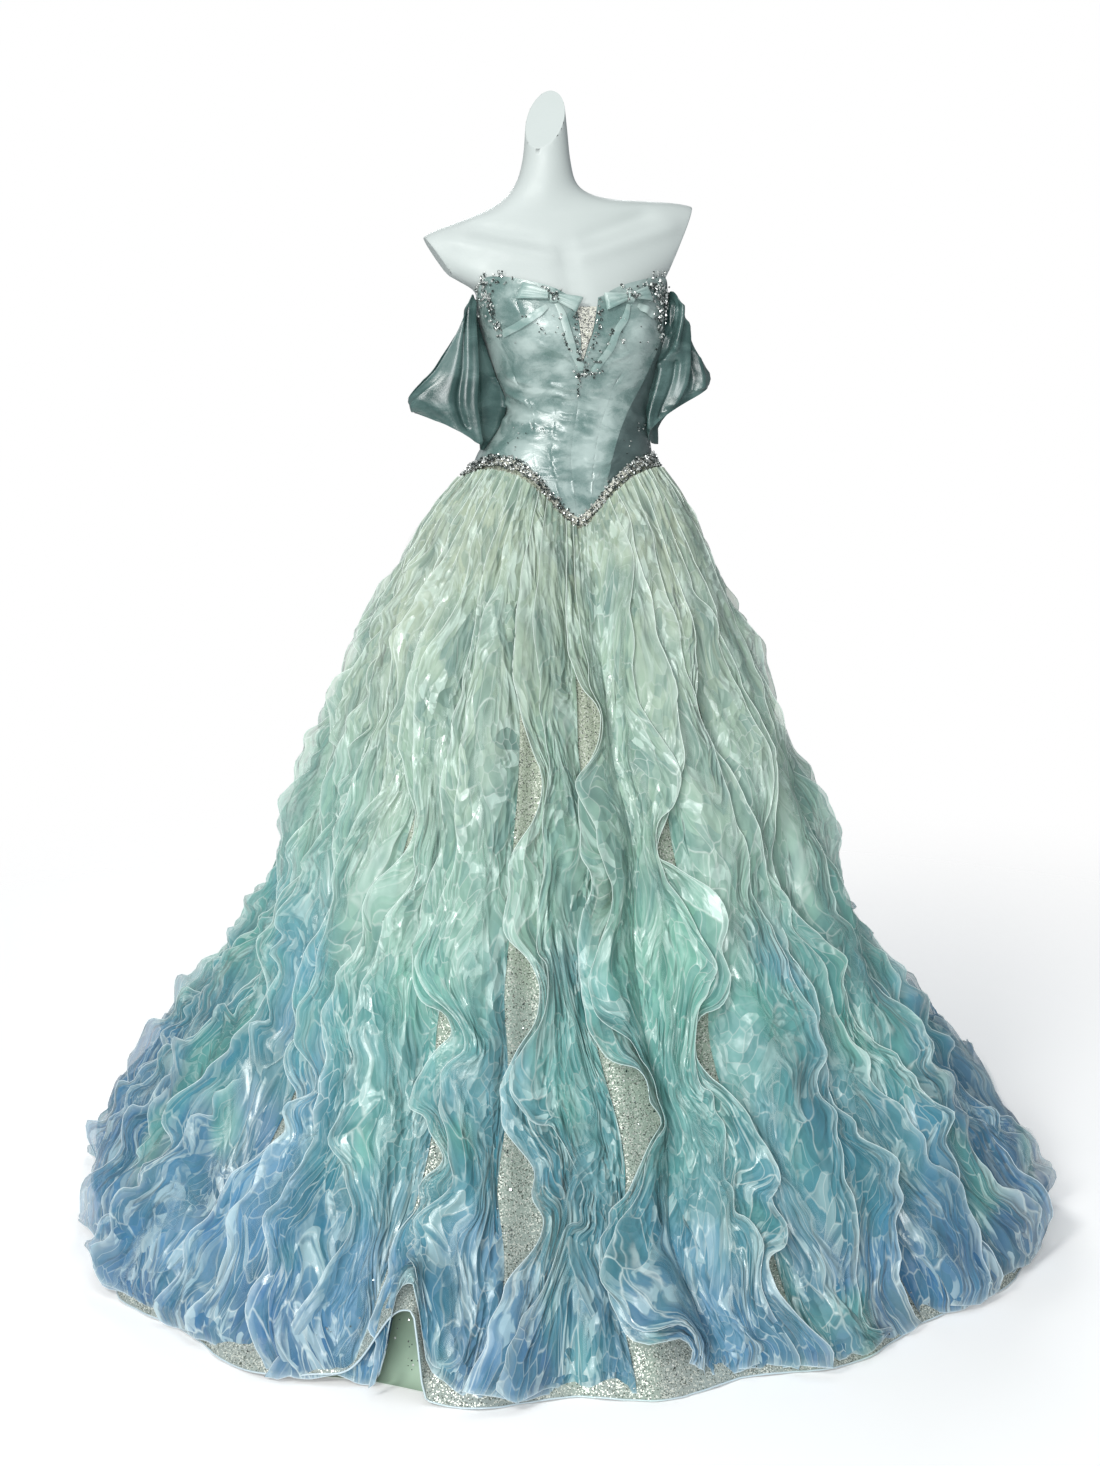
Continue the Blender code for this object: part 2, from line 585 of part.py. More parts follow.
def ribbon(name, centre_x, centre_z, lifts, half_width, across, slot="satin"):
    """Flat ribbon laid along points of the bodice front.

    across is the unit x, z direction of the ribbon's width.
    """
    centre_x = np.asarray(centre_x, float)
    centre_z = np.asarray(centre_z, float)
    lifts = np.asarray(lifts, float)
    half_width = np.broadcast_to(np.asarray(half_width, float), centre_x.shape)
    sides = []
    for share in (-1.0, 0.0, 1.0):
        x = centre_x + across[0] * half_width * share
        z = centre_z + across[1] * half_width * share
        sides.append(front_place(x, z, lifts))
    grid = np.stack(sides)
    face = grid_normals(grid, False)
    two_sided(name, grid + face * RIBBON_WALL * 0.5, grid - face * RIBBON_WALL * 0.5, slot)


def build_bows():
    knots = {name: (x, z) for name, x, z in KNOTS}
    for name, (x, z) in knots.items():
        steps = np.array([-1.0, -0.62, 0.0, 0.62, 1.0])
        lifts = np.array([0.0016, 0.0068, 0.0086, 0.0068, 0.0016])
        ribbon(f"bow_{name}_knot", x + 0.0 * steps, z + 0.0080 * steps, lifts, 0.0048, (1.0, 0.0))
    for bow, name, end_x, end_z, half in LOOPS:
        x, z = knots[bow]
        along = unit(np.array([end_x - x, end_z - z]))
        across = (-along[1], along[0])
        start = np.array([x, z]) + along * 0.0080
        length = np.linalg.norm(np.array([end_x, end_z]) - start)
        share = np.array([0.0, 0.35, 0.72, 0.93, 1.0, 0.93, 0.72, 0.35, 0.0])
        lifts = np.array([0.0014, 0.0014, 0.0014, 0.0018, 0.0044, 0.0072, 0.0078, 0.0068, 0.0042])
        widths = half * np.array([0.45, 0.85, 1.0, 0.95, 0.9, 0.95, 1.0, 0.85, 0.45])
        ribbon(
            f"bow_{bow}_loop_{name}", start[0] + along[0] * length * share,
            start[1] + along[1] * length * share, lifts, widths, across,
        )
    for bow, name, rows in TAILS:
        x = np.array([row[0] for row in rows])
        z = np.array([row[1] for row in rows])
        along = unit(np.array([x[-1] - x[0], z[-1] - z[0]]))
        share = np.linspace(0.0, 1.0, 2 * len(rows) + 1)
        at = np.linspace(0.0, 1.0, len(rows))
        ribbon(
            f"bow_{bow}_tail_{name}", np.interp(share, at, x), np.interp(share, at, z),
            0.0014 + 0.0012 * np.sin(np.pi * share), TAIL_HALF_WIDTH, (-along[1], along[0]),
        )


def build_form():
    """Smooth torso with the arms and the head cut off flat."""
    turn = np.linspace(0.0, 360.0, FORM_STEPS, endpoint=False)
    rings = []
    for height in FORM_RINGS:
        rings.append(body_point(turn, np.full_like(turn, height), -FORM_CLEARANCE))
    for height, centre_x, centre_y, half, front, back, tilt, square in FORM_TOP:
        angle = np.radians(turn)
        side = power(np.sin(angle), 2.0 / square)
        ahead = power(np.cos(angle), 2.0 / square)
        x = half * side
        y = centre_y - np.where(ahead > 0.0, front, back) * ahead
        lean = math.radians(tilt)
        rings.append(stack(centre_x + x * math.cos(lean), y, height + x * math.sin(lean)))
    rings[0][:, 2] = FORM_BOTTOM
    points = [tuple(p) for ring in rings for p in ring]
    faces = []
    for level in range(len(rings) - 1):
        for i in range(FORM_STEPS):
            a = level * FORM_STEPS + i
            b = level * FORM_STEPS + (i + 1) % FORM_STEPS
            faces.append((a, b, b + FORM_STEPS, a + FORM_STEPS))
    faces.append(tuple(range(FORM_STEPS)))
    top = (len(rings) - 1) * FORM_STEPS
    faces.append(tuple(range(top, top + FORM_STEPS)))
    torso = add_object("form_torso", points, faces, "form")
    for name, place, facing in FORM_CUTS:
        cutter = add_cutter(name, place, facing)
        cut = torso.modifiers.new(name, "BOOLEAN")
        cut.operation = "DIFFERENCE"
        cut.solver = "EXACT"
        cut.object = cutter


def add_cutter(name, place, facing):
    """Block whose one face lies on the cut."""
    mesh = bpy.data.meshes.new(name)
    work = bmesh.new()
    bmesh.ops.create_cube(work, size=0.24)
    work.to_mesh(mesh)
    work.free()
    made = bpy.data.objects.new(name, mesh)
    way = Vector(facing).normalized()
    spin = way.to_track_quat("X", "Z").to_matrix().to_4x4()
    made.matrix_world = Matrix.Translation(Vector(place) + way * 0.12) @ spin
    made.display_type = "WIRE"
    made.hide_render = True
    cutters.objects.link(made)
    return made


def turned(name, profile, steps, slot):
    """Round solid from radius and height pairs, closed at both ends."""
    points = []
    faces = []
    for radius, height in profile:
        for i in range(steps):
            angle = 2.0 * math.pi * i / steps
            points.append((radius * math.cos(angle), radius * math.sin(angle), height))
    for level in range(len(profile) - 1):
        for i in range(steps):
            a = level * steps + i
            b = level * steps + (i + 1) % steps
            faces.append((a, b, b + steps, a + steps))
    faces.append(tuple(range(steps)))
    top = (len(profile) - 1) * steps
    faces.append(tuple(range(top, top + steps)))
    made = add_object(name, points, faces, slot)
    for polygon in made.data.polygons:
        if len(polygon.vertices) > 4:
            polygon.use_smooth = False
    return made


def build_stand():
    edge = 0.003
    turned("stand_base", (
        (BASE_RADIUS, 0.0), (BASE_RADIUS, BASE_THICK - edge), (BASE_RADIUS - edge, BASE_THICK),
    ), 32, "metal")
    turned("stand_pole", ((POLE_RADIUS, BASE_THICK), (POLE_RADIUS, FORM_BOTTOM)), 20, "metal")


for old in list(bpy.data.objects):
    bpy.data.objects.remove(old, do_unlink=True)
parts = bpy.data.collections.new(NAME)
cutters = bpy.data.collections.new(NAME + "_cutters")
bpy.context.scene.collection.children.link(parts)
bpy.context.scene.collection.children.link(cutters)

build_form()
build_stand()
build_bodice()
build_waist_trim()
build_skirt()
build_sleeve("right", 1.0)
build_sleeve("left", -1.0)
build_bows()
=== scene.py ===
# %% [markdown]
# # A ball gown of satin and sheer organza on a limbless dress form
#
# The frame gives every solid of the gown in metres. The gown faces -Y, the base plate is centred
# on the origin, and angles run round the body from the centre front towards +X. Each solid of
# cloth is swapped for a finer piece on the same form, and the smooth hard parts keep their shape.

# %% Load the frame
import math

import bmesh
import bpy
import numpy as np
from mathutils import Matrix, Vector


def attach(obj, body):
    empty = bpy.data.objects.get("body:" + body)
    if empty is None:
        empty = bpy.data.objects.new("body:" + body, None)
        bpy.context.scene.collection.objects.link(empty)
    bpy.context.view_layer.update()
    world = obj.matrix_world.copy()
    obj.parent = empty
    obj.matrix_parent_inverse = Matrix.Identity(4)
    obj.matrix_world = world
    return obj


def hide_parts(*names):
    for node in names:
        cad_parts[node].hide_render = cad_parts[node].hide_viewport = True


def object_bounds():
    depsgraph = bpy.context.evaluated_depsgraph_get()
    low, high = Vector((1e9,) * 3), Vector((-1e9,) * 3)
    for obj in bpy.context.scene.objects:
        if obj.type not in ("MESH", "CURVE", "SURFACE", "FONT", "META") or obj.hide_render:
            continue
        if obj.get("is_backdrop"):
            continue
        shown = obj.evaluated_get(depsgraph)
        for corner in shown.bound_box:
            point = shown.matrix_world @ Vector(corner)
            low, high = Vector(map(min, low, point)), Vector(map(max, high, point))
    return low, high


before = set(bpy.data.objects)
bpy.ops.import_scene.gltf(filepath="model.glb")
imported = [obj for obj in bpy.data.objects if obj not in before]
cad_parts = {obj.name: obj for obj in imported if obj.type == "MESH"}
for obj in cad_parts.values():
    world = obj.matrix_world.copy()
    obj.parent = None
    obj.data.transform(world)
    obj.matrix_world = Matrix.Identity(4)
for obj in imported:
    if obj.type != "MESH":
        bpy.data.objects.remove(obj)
solid_box = [list(corner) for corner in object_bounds()]
print("nodes", len(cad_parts), "box", [[round(v, 3) for v in c] for c in solid_box])


# %% [markdown]
# ## Camera
#
# The eye stands a little to the gown's right, at chest height, and looks down slightly. A camera
# that is tilted down makes upright things lean. Part of the framing is therefore done with a small
# lens shift, which moves the picture without tilting the camera any further.

# %% Camera
# degrees, metres and picture pixels
EYE_TURN = 12.0
EYE_DISTANCE = 3.22
EYE_HEIGHT = 1.32
EYE_DOWN = 8.08
PICTURE_HEIGHT = 1466
FOCAL_PIXELS = 2218
LENS_SHIFT = 0.08
SIDE_SHIFT = 10 / PICTURE_HEIGHT
SENSOR_WIDTH = 36.0

camera_data = bpy.data.cameras.new("studio_camera")
camera = bpy.data.objects.new("studio_camera", camera_data)
bpy.context.scene.collection.objects.link(camera)
camera_data.sensor_width = SENSOR_WIDTH
camera_data.lens = FOCAL_PIXELS / PICTURE_HEIGHT * SENSOR_WIDTH
camera_data.shift_x = -SIDE_SHIFT
camera_data.shift_y = -LENS_SHIFT
turn = math.radians(EYE_TURN)
camera.location = (-EYE_DISTANCE * math.sin(turn), -EYE_DISTANCE * math.cos(turn), EYE_HEIGHT)
camera.rotation_euler = (math.radians(90.0 - EYE_DOWN), 0.0, -turn)
bpy.context.scene.camera = camera
print("lens", round(camera_data.lens, 1), "mm")


# %% [markdown]
# ## Studio
#
# Sheer cloth needs a bright, soft room, and its creases need one lamp that is stronger than the
# rest. Five disc lamps do that: a strong one high at the left, a broad one low in front, a weak one
# at the right, one behind that gives the edges a light line, and one above.

# %% Lamps
WHITE = (1.0, 1.0, 1.0)
# name, place, height that it is aimed at, size in metres, watts, colour
LAMPS = (
    ("lamp_left", (-2.4, -2.9, 3.0), 0.7, 0.9, 80.0, (1.0, 0.985, 0.96)),
    ("lamp_front", (-1.5, -4.0, 1.5), 0.7, 1.6, 88.0, WHITE),
    ("lamp_right", (3.2, -2.2, 1.8), 0.5, 1.6, 1.5, (0.93, 0.97, 1.0)),
    ("lamp_back", (0.2, 3.0, 2.7), 0.7, 1.6, 52.0, WHITE),
    ("lamp_top", (-0.3, -0.9, 4.4), 0.5, 2.0, 28.0, WHITE),
)


def add_lamp(name, place, aim_height, size, watts, colour):
    """Disc lamp that looks at the middle of the gown."""
    data = bpy.data.lights.new(name, "AREA")
    data.shape = "DISK"
    data.size = size
    data.energy = watts
    data.color = colour
    made = bpy.data.objects.new(name, data)
    made.location = place
    x, y, fall = -place[0], -place[1], aim_height - place[2]
    made.rotation_euler = (math.atan2(math.hypot(x, y), -fall), 0.0, math.atan2(-x, y))
    made.visible_camera = False
    bpy.context.scene.collection.objects.link(made)


for row in LAMPS:
    add_lamp(*row)
print("lamps", len(LAMPS), "watts", sum(row[4] for row in LAMPS))


# %% [markdown]
# ### Room and floor
#
# The camera sees a white room while the gown is lit by a dimmer one: a world can do both when it
# asks whether a ray comes from the camera. The floor is a pale disc that fades out into the white,
# so no horizon shows from any side.

# %% Room and floor
FLOOR_COLOUR = (0.97, 0.975, 0.975, 1.0)
FLOOR_RADIUS = 7.0
FLOOR_SIDES = 96
FLOOR_GLOW = 0.12
# radii in metres between which the floor fades out
FLOOR_FADE = (0.95, 2.7)
ROOM_LIGHT = (0.9, 0.95, 1.0, 1.0)
ROOM_STRENGTH = 0.31


def make(tree, kind, inputs=(), **settings):
    """New node with its settings; each input gets a plain value or another node's output."""
    node = tree.nodes.new("ShaderNode" + kind)
    for title, value in settings.items():
        setattr(node, title, value)
    for title, value in dict(inputs).items():
        if isinstance(value, (int, float, tuple)):
            node.inputs[title].default_value = value
        elif value is not None:
            tree.links.new(value, node.inputs[title])
    return node


def own_place(tree):
    """Place in the object's own metres."""
    return make(tree, "TexCoord").outputs["Object"]


def map_range(value, *ends):
    """Soft step from one range to another: low, high, then what they become."""
    # a socket knows the node tree that it belongs to, so helpers like this one ask it
    inputs = dict(enumerate((value, *ends)))
    return make(value.id_data, "MapRange", inputs, interpolation_type="SMOOTHSTEP").outputs[0]


def build_room():
    world = bpy.data.worlds.new("studio_world")
    bpy.context.scene.world = world
    world.use_nodes = True
    room = world.node_tree
    light = room.nodes["Background"]
    light.inputs["Color"].default_value = ROOM_LIGHT
    light.inputs["Strength"].default_value = ROOM_STRENGTH
    white = make(room, "Background", {"Color": (*WHITE, 1.0)})
    seen = make(room, "LightPath").outputs["Is Camera Ray"]
    mix = make(room, "MixShader", {0: seen, 1: light.outputs[0], 2: white.outputs[0]})
    room.links.new(mix.outputs[0], room.nodes["World Output"].inputs["Surface"])
    bpy.context.scene.view_settings.view_transform = "Standard"
    bpy.context.scene.view_settings.look = "None"


def build_floor():
    mesh = bpy.data.meshes.new("studio_floor")
    work = bmesh.new()
    bmesh.ops.create_circle(work, cap_ends=True, segments=FLOOR_SIDES, radius=FLOOR_RADIUS)
    work.to_mesh(mesh)
    work.free()
    made = bpy.data.objects.new("studio_floor", mesh)
    bpy.context.scene.collection.objects.link(made)
    paper = bpy.data.materials.new("studio_paper")
    paper.use_nodes = True
    tree = paper.node_tree
    shader = tree.nodes["Principled BSDF"]
    shader.inputs["Base Color"].default_value = FLOOR_COLOUR
    shader.inputs["Emission Color"].default_value = (*WHITE, 1.0)
    shader.inputs["Emission Strength"].default_value = FLOOR_GLOW
    shader.inputs["Roughness"].default_value = 0.9
    away = make(tree, "VectorMath", {0: own_place(tree)}, operation="LENGTH")
    shown = map_range(away.outputs["Value"], *FLOOR_FADE, 1.0, 0.0)
    tree.links.new(shown, shader.inputs["Alpha"])
    mesh.materials.append(paper)
    made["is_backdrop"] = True
    print("floor", FLOOR_RADIUS, "m in radius")


build_room()
build_floor()


# %% [markdown]
# ## The cut of the gown as formulas
#
# A dress is cut to a body, so the body comes first: a row of sizes for each height, joined by
# smooth curves. The waist seam and the neckline are curves round that body, and the skirt spreads
# from the waist seam to the hem. These are the sizes that the solids were made with. The solids'
# own meshes could be read instead, but a formula can be asked for a point anywhere on the cloth.

# %% Curves
def smooth(xs, ys, x):
    """Cubic curve through a short table."""
    xs = np.asarray(xs, float)
    ys = np.asarray(ys, float)
    x = np.asarray(x, float)
    slopes = np.gradient(ys, xs)
    i = np.clip(np.searchsorted(xs, x, side="right") - 1, 0, len(xs) - 2)
    step = xs[i + 1] - xs[i]
    u = np.clip((x - xs[i]) / step, 0.0, 1.0)
    a = (2 * u**3 - 3 * u**2 + 1) * ys[i]
    b = (u**3 - 2 * u**2 + u) * step * slopes[i]
    c = (3 * u**2 - 2 * u**3) * ys[i + 1]
    d = (u**3 - u**2) * step * slopes[i + 1]
    return a + b + c + d


def column(table, index):
    return [row[index] for row in table]


def follow(table, x, index=1):
    """Curve through a table: x is its first column and the curve another one."""
    return smooth(column(table, 0), column(table, index), x)


def ease(x):
    """0 to 1 with soft ends."""
    x = np.clip(x, 0.0, 1.0)
    return x * x * (3.0 - 2.0 * x)


def bell(x, exponent=2.0):
    """1 in the middle, falling to 0 on both sides."""
    return np.exp(-(np.abs(x) ** exponent))


def wrapped(degrees):
    return (np.asarray(degrees, float) + 180.0) % 360.0 - 180.0


def power(value, exponent):
    return np.sign(value) * np.abs(value) ** exponent


def unit(vectors):
    length = np.linalg.norm(vectors, axis=-1, keepdims=True)
    return vectors / np.maximum(length, 1e-12)


def stack(x, y, z):
    return np.stack(np.broadcast_arrays(x, y, z), axis=-1)


# %% Body
# height, centre_x, half_width, front_depth, back_depth
BODY = (
    (0.9, 0.0, 0.14, 0.118, 0.112),
    (1.0, 0.0, 0.138, 0.12, 0.11),
    (1.06, 0.001, 0.132, 0.113, 0.105),
    (1.1, 0.007, 0.124, 0.105, 0.098),
    (1.135, 0.017, 0.109, 0.096, 0.086),
    (1.165, 0.024, 0.102, 0.091, 0.081),
    (1.21, 0.021, 0.113, 0.102, 0.083),
    (1.275, 0.017, 0.13, 0.121, 0.088),
    (1.325, 0.012, 0.138, 0.116, 0.09),
    (1.36, 0.012, 0.142, 0.102, 0.09),
)
BODY_SQUARE = 2.35
# degrees from the centre front, height, and how far each bust swells and spreads
BUST_ANGLE = 33.0
BUST_HEIGHT = 1.285
BUST_SWELL = 0.01
BUST_WIDE = 21.0
BUST_TALL = 0.045
BODICE_WALL = 0.002
# small steps, in degrees and metres, that the slope of the body is measured over
SLOPE_TURN = 1.5
SLOPE_RISE = 0.004
# height, degrees that the centre front swings
TWIST = ((0.9, 0.0), (1.05, -1.0), (1.165, -8.0), (1.25, -3.0), (1.33, 0.0), (1.4, 0.0))


def body_plain(degrees, height):
    centre, half, front, back = (follow(BODY, height, index) for index in range(1, 5))
    angle = np.radians(degrees)
    side = power(np.sin(angle), 2.0 / BODY_SQUARE)
    ahead = power(np.cos(angle), 2.0 / BODY_SQUARE)
    depth = np.where(ahead > 0.0, front, back)
    apart = (np.abs(wrapped(degrees)) - BUST_ANGLE) / BUST_WIDE
    swell = BUST_SWELL * np.exp(-apart**2 - ((height - BUST_HEIGHT) / BUST_TALL) ** 2)
    return stack(centre + half * side, -depth * ahead - swell, height)


def body_point(degrees, height, out=0.0):
    """Point at a distance out from the body."""
    degrees = np.asarray(degrees, float)
    height = np.asarray(height, float)
    across = body_plain(degrees + SLOPE_TURN, height) - body_plain(degrees - SLOPE_TURN, height)
    down = body_plain(degrees, height - SLOPE_RISE) - body_plain(degrees, height + SLOPE_RISE)
    normal = unit(np.cross(down, across))
    return body_plain(degrees, height) + normal * np.asarray(out, float)[..., None]


# %% Neckline and waist seam
# degrees from the centre front, height
NECK_EDGE = (
    (0.0, 1.322), (5.0, 1.324), (14.0, 1.336), (30.0, 1.347), (50.0, 1.353),
    (65.0, 1.35), (75.0, 1.334), (84.0, 1.31), (94.0, 1.299), (120.0, 1.299), (180.0, 1.296),
)
WAIST_EDGE = (
    (0.0, 1.013), (6.0, 1.028), (12.0, 1.046), (20.0, 1.066), (30.0, 1.083),
    (45.0, 1.093), (60.0, 1.094), (90.0, 1.078), (130.0, 1.066), (180.0, 1.05),
)


def neck_edge(degrees):
    return follow(NECK_EDGE, np.abs(wrapped(degrees)))


def waist_edge(degrees):
    return follow(WAIST_EDGE, np.abs(wrapped(degrees)))


print("neck", NECK_EDGE[0][1], "waist", WAIST_EDGE[0][1], "at the centre front")


# %% Skirt
GORES = 8
LINES = 96
GORE_LINES = LINES // GORES
DOWN = (0.0, 0.055, 0.14, 0.26, 0.38, 0.5, 0.62, 0.73, 0.83, 0.92, 1.0)
SPREAD_FRONT = (0.0, 0.08, 0.17, 0.28, 0.385, 0.485, 0.59, 0.695, 0.8, 0.905, 1.0)
SPREAD_SIDE = (0.0, 0.074, 0.148, 0.238, 0.32, 0.396, 0.485, 0.625, 0.79, 0.92, 1.0)
SPREAD_BACK = (0.0, 0.07, 0.14, 0.225, 0.305, 0.385, 0.475, 0.585, 0.715, 0.855, 1.0)
# degrees, reach of the hem
HEM = (
    (-180.0, 0.9), (-150.0, 0.86), (-120.0, 0.745), (-90.0, 0.676), (-60.0, 0.718),
    (-30.0, 0.72), (0.0, 0.694), (30.0, 0.695), (60.0, 0.708), (90.0, 0.682),
    (120.0, 0.76), (150.0, 0.86), (180.0, 0.9),
)
HEM_HEIGHT = 0.0035
SEAM_DROP = 0.0004
FOLDS = 16
FOLD_DEPTH = 0.013
ARCH_ANGLE = -33.75
ARCH_WIDTH = 7.5
ARCH_LIFT = 0.062
SWAY = 3.2
# share of the way down, sideways shift of the whole skirt
SHIFT = (
    (0.0, 0.0), (0.08, -0.007), (0.25, -0.015), (0.5, -0.016), (0.72, -0.008), (0.85, 0.0), (1.0, 0.0),
)


def solid_lift(degrees, down):
    """How far the hem of the solid gores is drawn up."""
    near = bell(wrapped(degrees - ARCH_ANGLE) / ARCH_WIDTH)
    return ARCH_LIFT * near * np.clip((down - 0.8) / 0.2, 0.0, 1.0) ** 2


def skirt_point(degrees, down):
    """Point on the outer face of the gores, at a share of the way from waist to hem."""
    degrees = np.asarray(degrees, float)
    down = np.asarray(down, float)
    around = np.abs(wrapped(degrees))
    top_height = waist_edge(degrees) - SEAM_DROP
    top = body_point(degrees, top_height, BODICE_WALL)
    front, side, back = (smooth(DOWN, row, down) for row in (SPREAD_FRONT, SPREAD_SIDE, SPREAD_BACK))
    to_side = np.clip((around - 20.0) / 60.0, 0.0, 1.0)
    to_back = np.clip((around - 100.0) / 60.0, 0.0, 1.0)
    spread = front + (side - front) * to_side + (back - side) * to_back
    angle = np.radians(degrees)
    fold = np.cos(FOLDS * angle + 0.6 * np.sin(3.0 * angle + 1.0) + 0.4 * np.sin(5.0 * angle))
    reach = follow(HEM, wrapped(degrees)) * spread + FOLD_DEPTH * fold * down**1.2
    x = top[..., 0] * (1.0 - spread) + np.sin(angle) * reach + follow(SHIFT, down)
    y = top[..., 1] * (1.0 - spread) - np.cos(angle) * reach
    z = top_height * (1.0 - down) + HEM_HEIGHT * down + solid_lift(degrees, down)
    return stack(x, y, z)


def skirt_out(degrees, down):
    """Outward normal of the gores."""
    beside = skirt_point(degrees + 1.0, down) - skirt_point(degrees - 1.0, down)
    above, under = np.maximum(down - 0.01, 0.0), np.minimum(down + 0.01, 1.0)
    below = skirt_point(degrees, under) - skirt_point(degrees, above)
    return unit(np.cross(below, beside))


def line_degrees(line, down):
    """Where a seam line of the skirt runs."""
    start = -180.0 + 360.0 * np.asarray(line, float) / LINES
    down = np.asarray(down, float)
    fade = np.sin(np.radians(start)) ** 2
    sway = SWAY * np.sin(5.2 * down + 2.0 * np.sin(np.radians(start) * 2.0))
    return start + sway * down * (0.4 + 0.6 * fade)


print("skirt", GORES, "gores, reach behind", HEM[0][1], "m")


# %% [markdown]
# ## Cloth as grids
#
# Every piece of cloth here is a grid of points: the first index runs across the piece and the
# second runs down it. A cloth simulation would drape the strips too, but its folds fall where they
# like, while a grid puts each crease where the gown has it and is the same in every run. Each point
# also keeps four numbers for the finishes: how far across the flat cloth it lies, how far along it,
# a tint, which on the satin is a painted highlight, and how near it is to a free edge.

# %% Grid to cloth
def link(name, mesh, materials, nodes=()):
    made = bpy.data.objects.new(name, mesh)
    bpy.context.scene.collection.objects.link(made)
    for finish in materials:
        mesh.materials.append(finish)
    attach(made, "root")
    if nodes:
        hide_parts(*nodes)
    return made


def grid_faces(across, along, wrap):
    i = np.arange(across if wrap else across - 1)[:, None]
    j = np.arange(along - 1)[None, :]
    a = i * along + j
    b = ((i + 1) % across) * along + j
    return np.stack([a, a + 1, b + 1, b], axis=-1).reshape(-1, 4)


def mark_rim(mesh, across, along, wrap):
    """Keep the shading of the face of a thick cloth apart from that of its cut edge."""
    ends = np.zeros(2 * len(mesh.edges), np.int32)
    mesh.edges.foreach_get("vertices", ends)
    row, place = np.divmod(ends.reshape(-1, 2), along)
    rim = (place == 0).all(axis=1) | (place == along - 1).all(axis=1)
    if not wrap:
        rim |= (row == 0).all(axis=1) | (row == across - 1).all(axis=1)
    mesh.edges.foreach_set("use_edge_sharp", rim)


def cloth(name, grid, finish, nodes=(), wrap=False, tint=0.0, edge=0.0, flat=None, wall=0.0):
    """Object from a grid, with its numbers for the finish kept on its points."""
    across, along = grid.shape[:2]
    mesh = bpy.data.meshes.new(name)
    mesh.from_pydata(grid.reshape(-1, 3).tolist(), [], grid_faces(across, along, wrap).tolist())
    mesh.polygons.foreach_set("use_smooth", [True] * len(mesh.polygons))
    numbers = np.zeros((across, along, 4), np.float32)
    shares = np.stack(np.meshgrid(
        np.linspace(0.0, 1.0, across), np.linspace(0.0, 1.0, along), indexing="ij"
    ), axis=-1)
    numbers[..., :2] = shares if flat is None else np.stack(flat, axis=-1)
    numbers[..., 2] = tint
    numbers[..., 3] = edge
    kept = mesh.attributes.new("cloth", "FLOAT_COLOR", "POINT")
    kept.data.foreach_set("color", numbers.ravel())
    unwrapped = mesh.uv_layers.new(name="cut")
    corners = np.zeros(len(mesh.loops), np.int64)
    mesh.loops.foreach_get("vertex_index", corners)
    unwrapped.data.foreach_set("uv", shares.reshape(-1, 2)[corners].ravel())
    made = link(name, mesh, [finish], nodes)
    if wall:
        mark_rim(mesh, across, along, wrap)
        thick = made.modifiers.new("cloth_wall", "SOLIDIFY")
        thick.thickness = wall
        thick.offset = -1.0
    return made


# %% Flat size of a piece
# a sheet is at least this share of the rectangle round it
LEAST_SHARE = 0.3


def cut_size(grid, wrap=False):
    """Width, length and area of the flat piece that a grid of cloth was cut from."""
    across = np.concatenate([grid, grid[:1]]) if wrap else grid
    width = np.linalg.norm(np.diff(across, axis=0), axis=-1).sum(axis=0).max()
    length = np.linalg.norm(np.diff(grid, axis=1), axis=-1).sum(axis=1).max()
    corners = np.cross(across[1:, 1:] - across[:-1, :-1], across[:-1, 1:] - across[1:, :-1])
    area = 0.5 * np.linalg.norm(corners, axis=-1).sum()
    return width, length, min(max(area, LEAST_SHARE * width * length), width * length)


def declare(grid, wrap=False):
    width, length, area = cut_size(grid, wrap)


def grid_normals(grid, wrap=False):
    if wrap:
        across = np.roll(grid, -1, axis=0) - np.roll(grid, 1, axis=0)
    else:
        across = np.gradient(grid, axis=0)
    return unit(np.cross(np.gradient(grid, axis=1), across))


# %% Small parts
def joined(name, shapes, finish, is_smooth=False):
    """One mesh from many small shapes."""
    points = []
    faces = []
    for shape_points, shape_faces in shapes:
        start = len(points)
        points.extend(tuple(p) for p in shape_points)
        faces.extend(tuple(start + i for i in face) for face in shape_faces)
    mesh = bpy.data.meshes.new(name)
    mesh.from_pydata(points, [], faces)
    mesh.polygons.foreach_set("use_smooth", [is_smooth] * len(faces))
    return link(name, mesh, [finish])


def tube(path, radius, sides=4):
    """Thin round edge along a path: points and faces."""
    path = np.asarray(path)
    along = unit(np.gradient(path, axis=0))
    helper = np.where(np.abs(along[:, 2:3]) > 0.9, [[1.0, 0.0, 0.0]], [[0.0, 0.0, 1.0]])
    first = unit(np.cross(along, helper))
    second = np.cross(along, first)
    angles = [2.0 * math.pi * i / sides for i in range(sides)]
    grid = np.stack([path + radius * (math.cos(a) * first + math.sin(a) * second) for a in angles])
    return grid.reshape(-1, 3).tolist(), grid_faces(sides, len(path), True).tolist()


# %% Creases
def crush(across, along, size, seed, lean=0.0, spread=0.45):
    """Sharp random creases as a height from -1 to 1, mostly running along the cloth."""
    rng = np.random.default_rng(seed)
    total = 0.0
    for _ in range(6):
        angle = lean + rng.normal(0.0, spread)
        wave = size * rng.uniform(0.7, 1.7)
        warp = 0.33 * np.sin(2.0 * np.pi * (across / (size * 3.1) + along / (size * 4.3) + rng.random()))
        phase = (across * math.cos(angle) + along * math.sin(angle)) / wave + warp + rng.random()
        total = total + (4.0 * np.abs(phase - np.floor(phase + 0.5)) - 1.0) * rng.uniform(0.6, 1.0)
    return total / 4.0


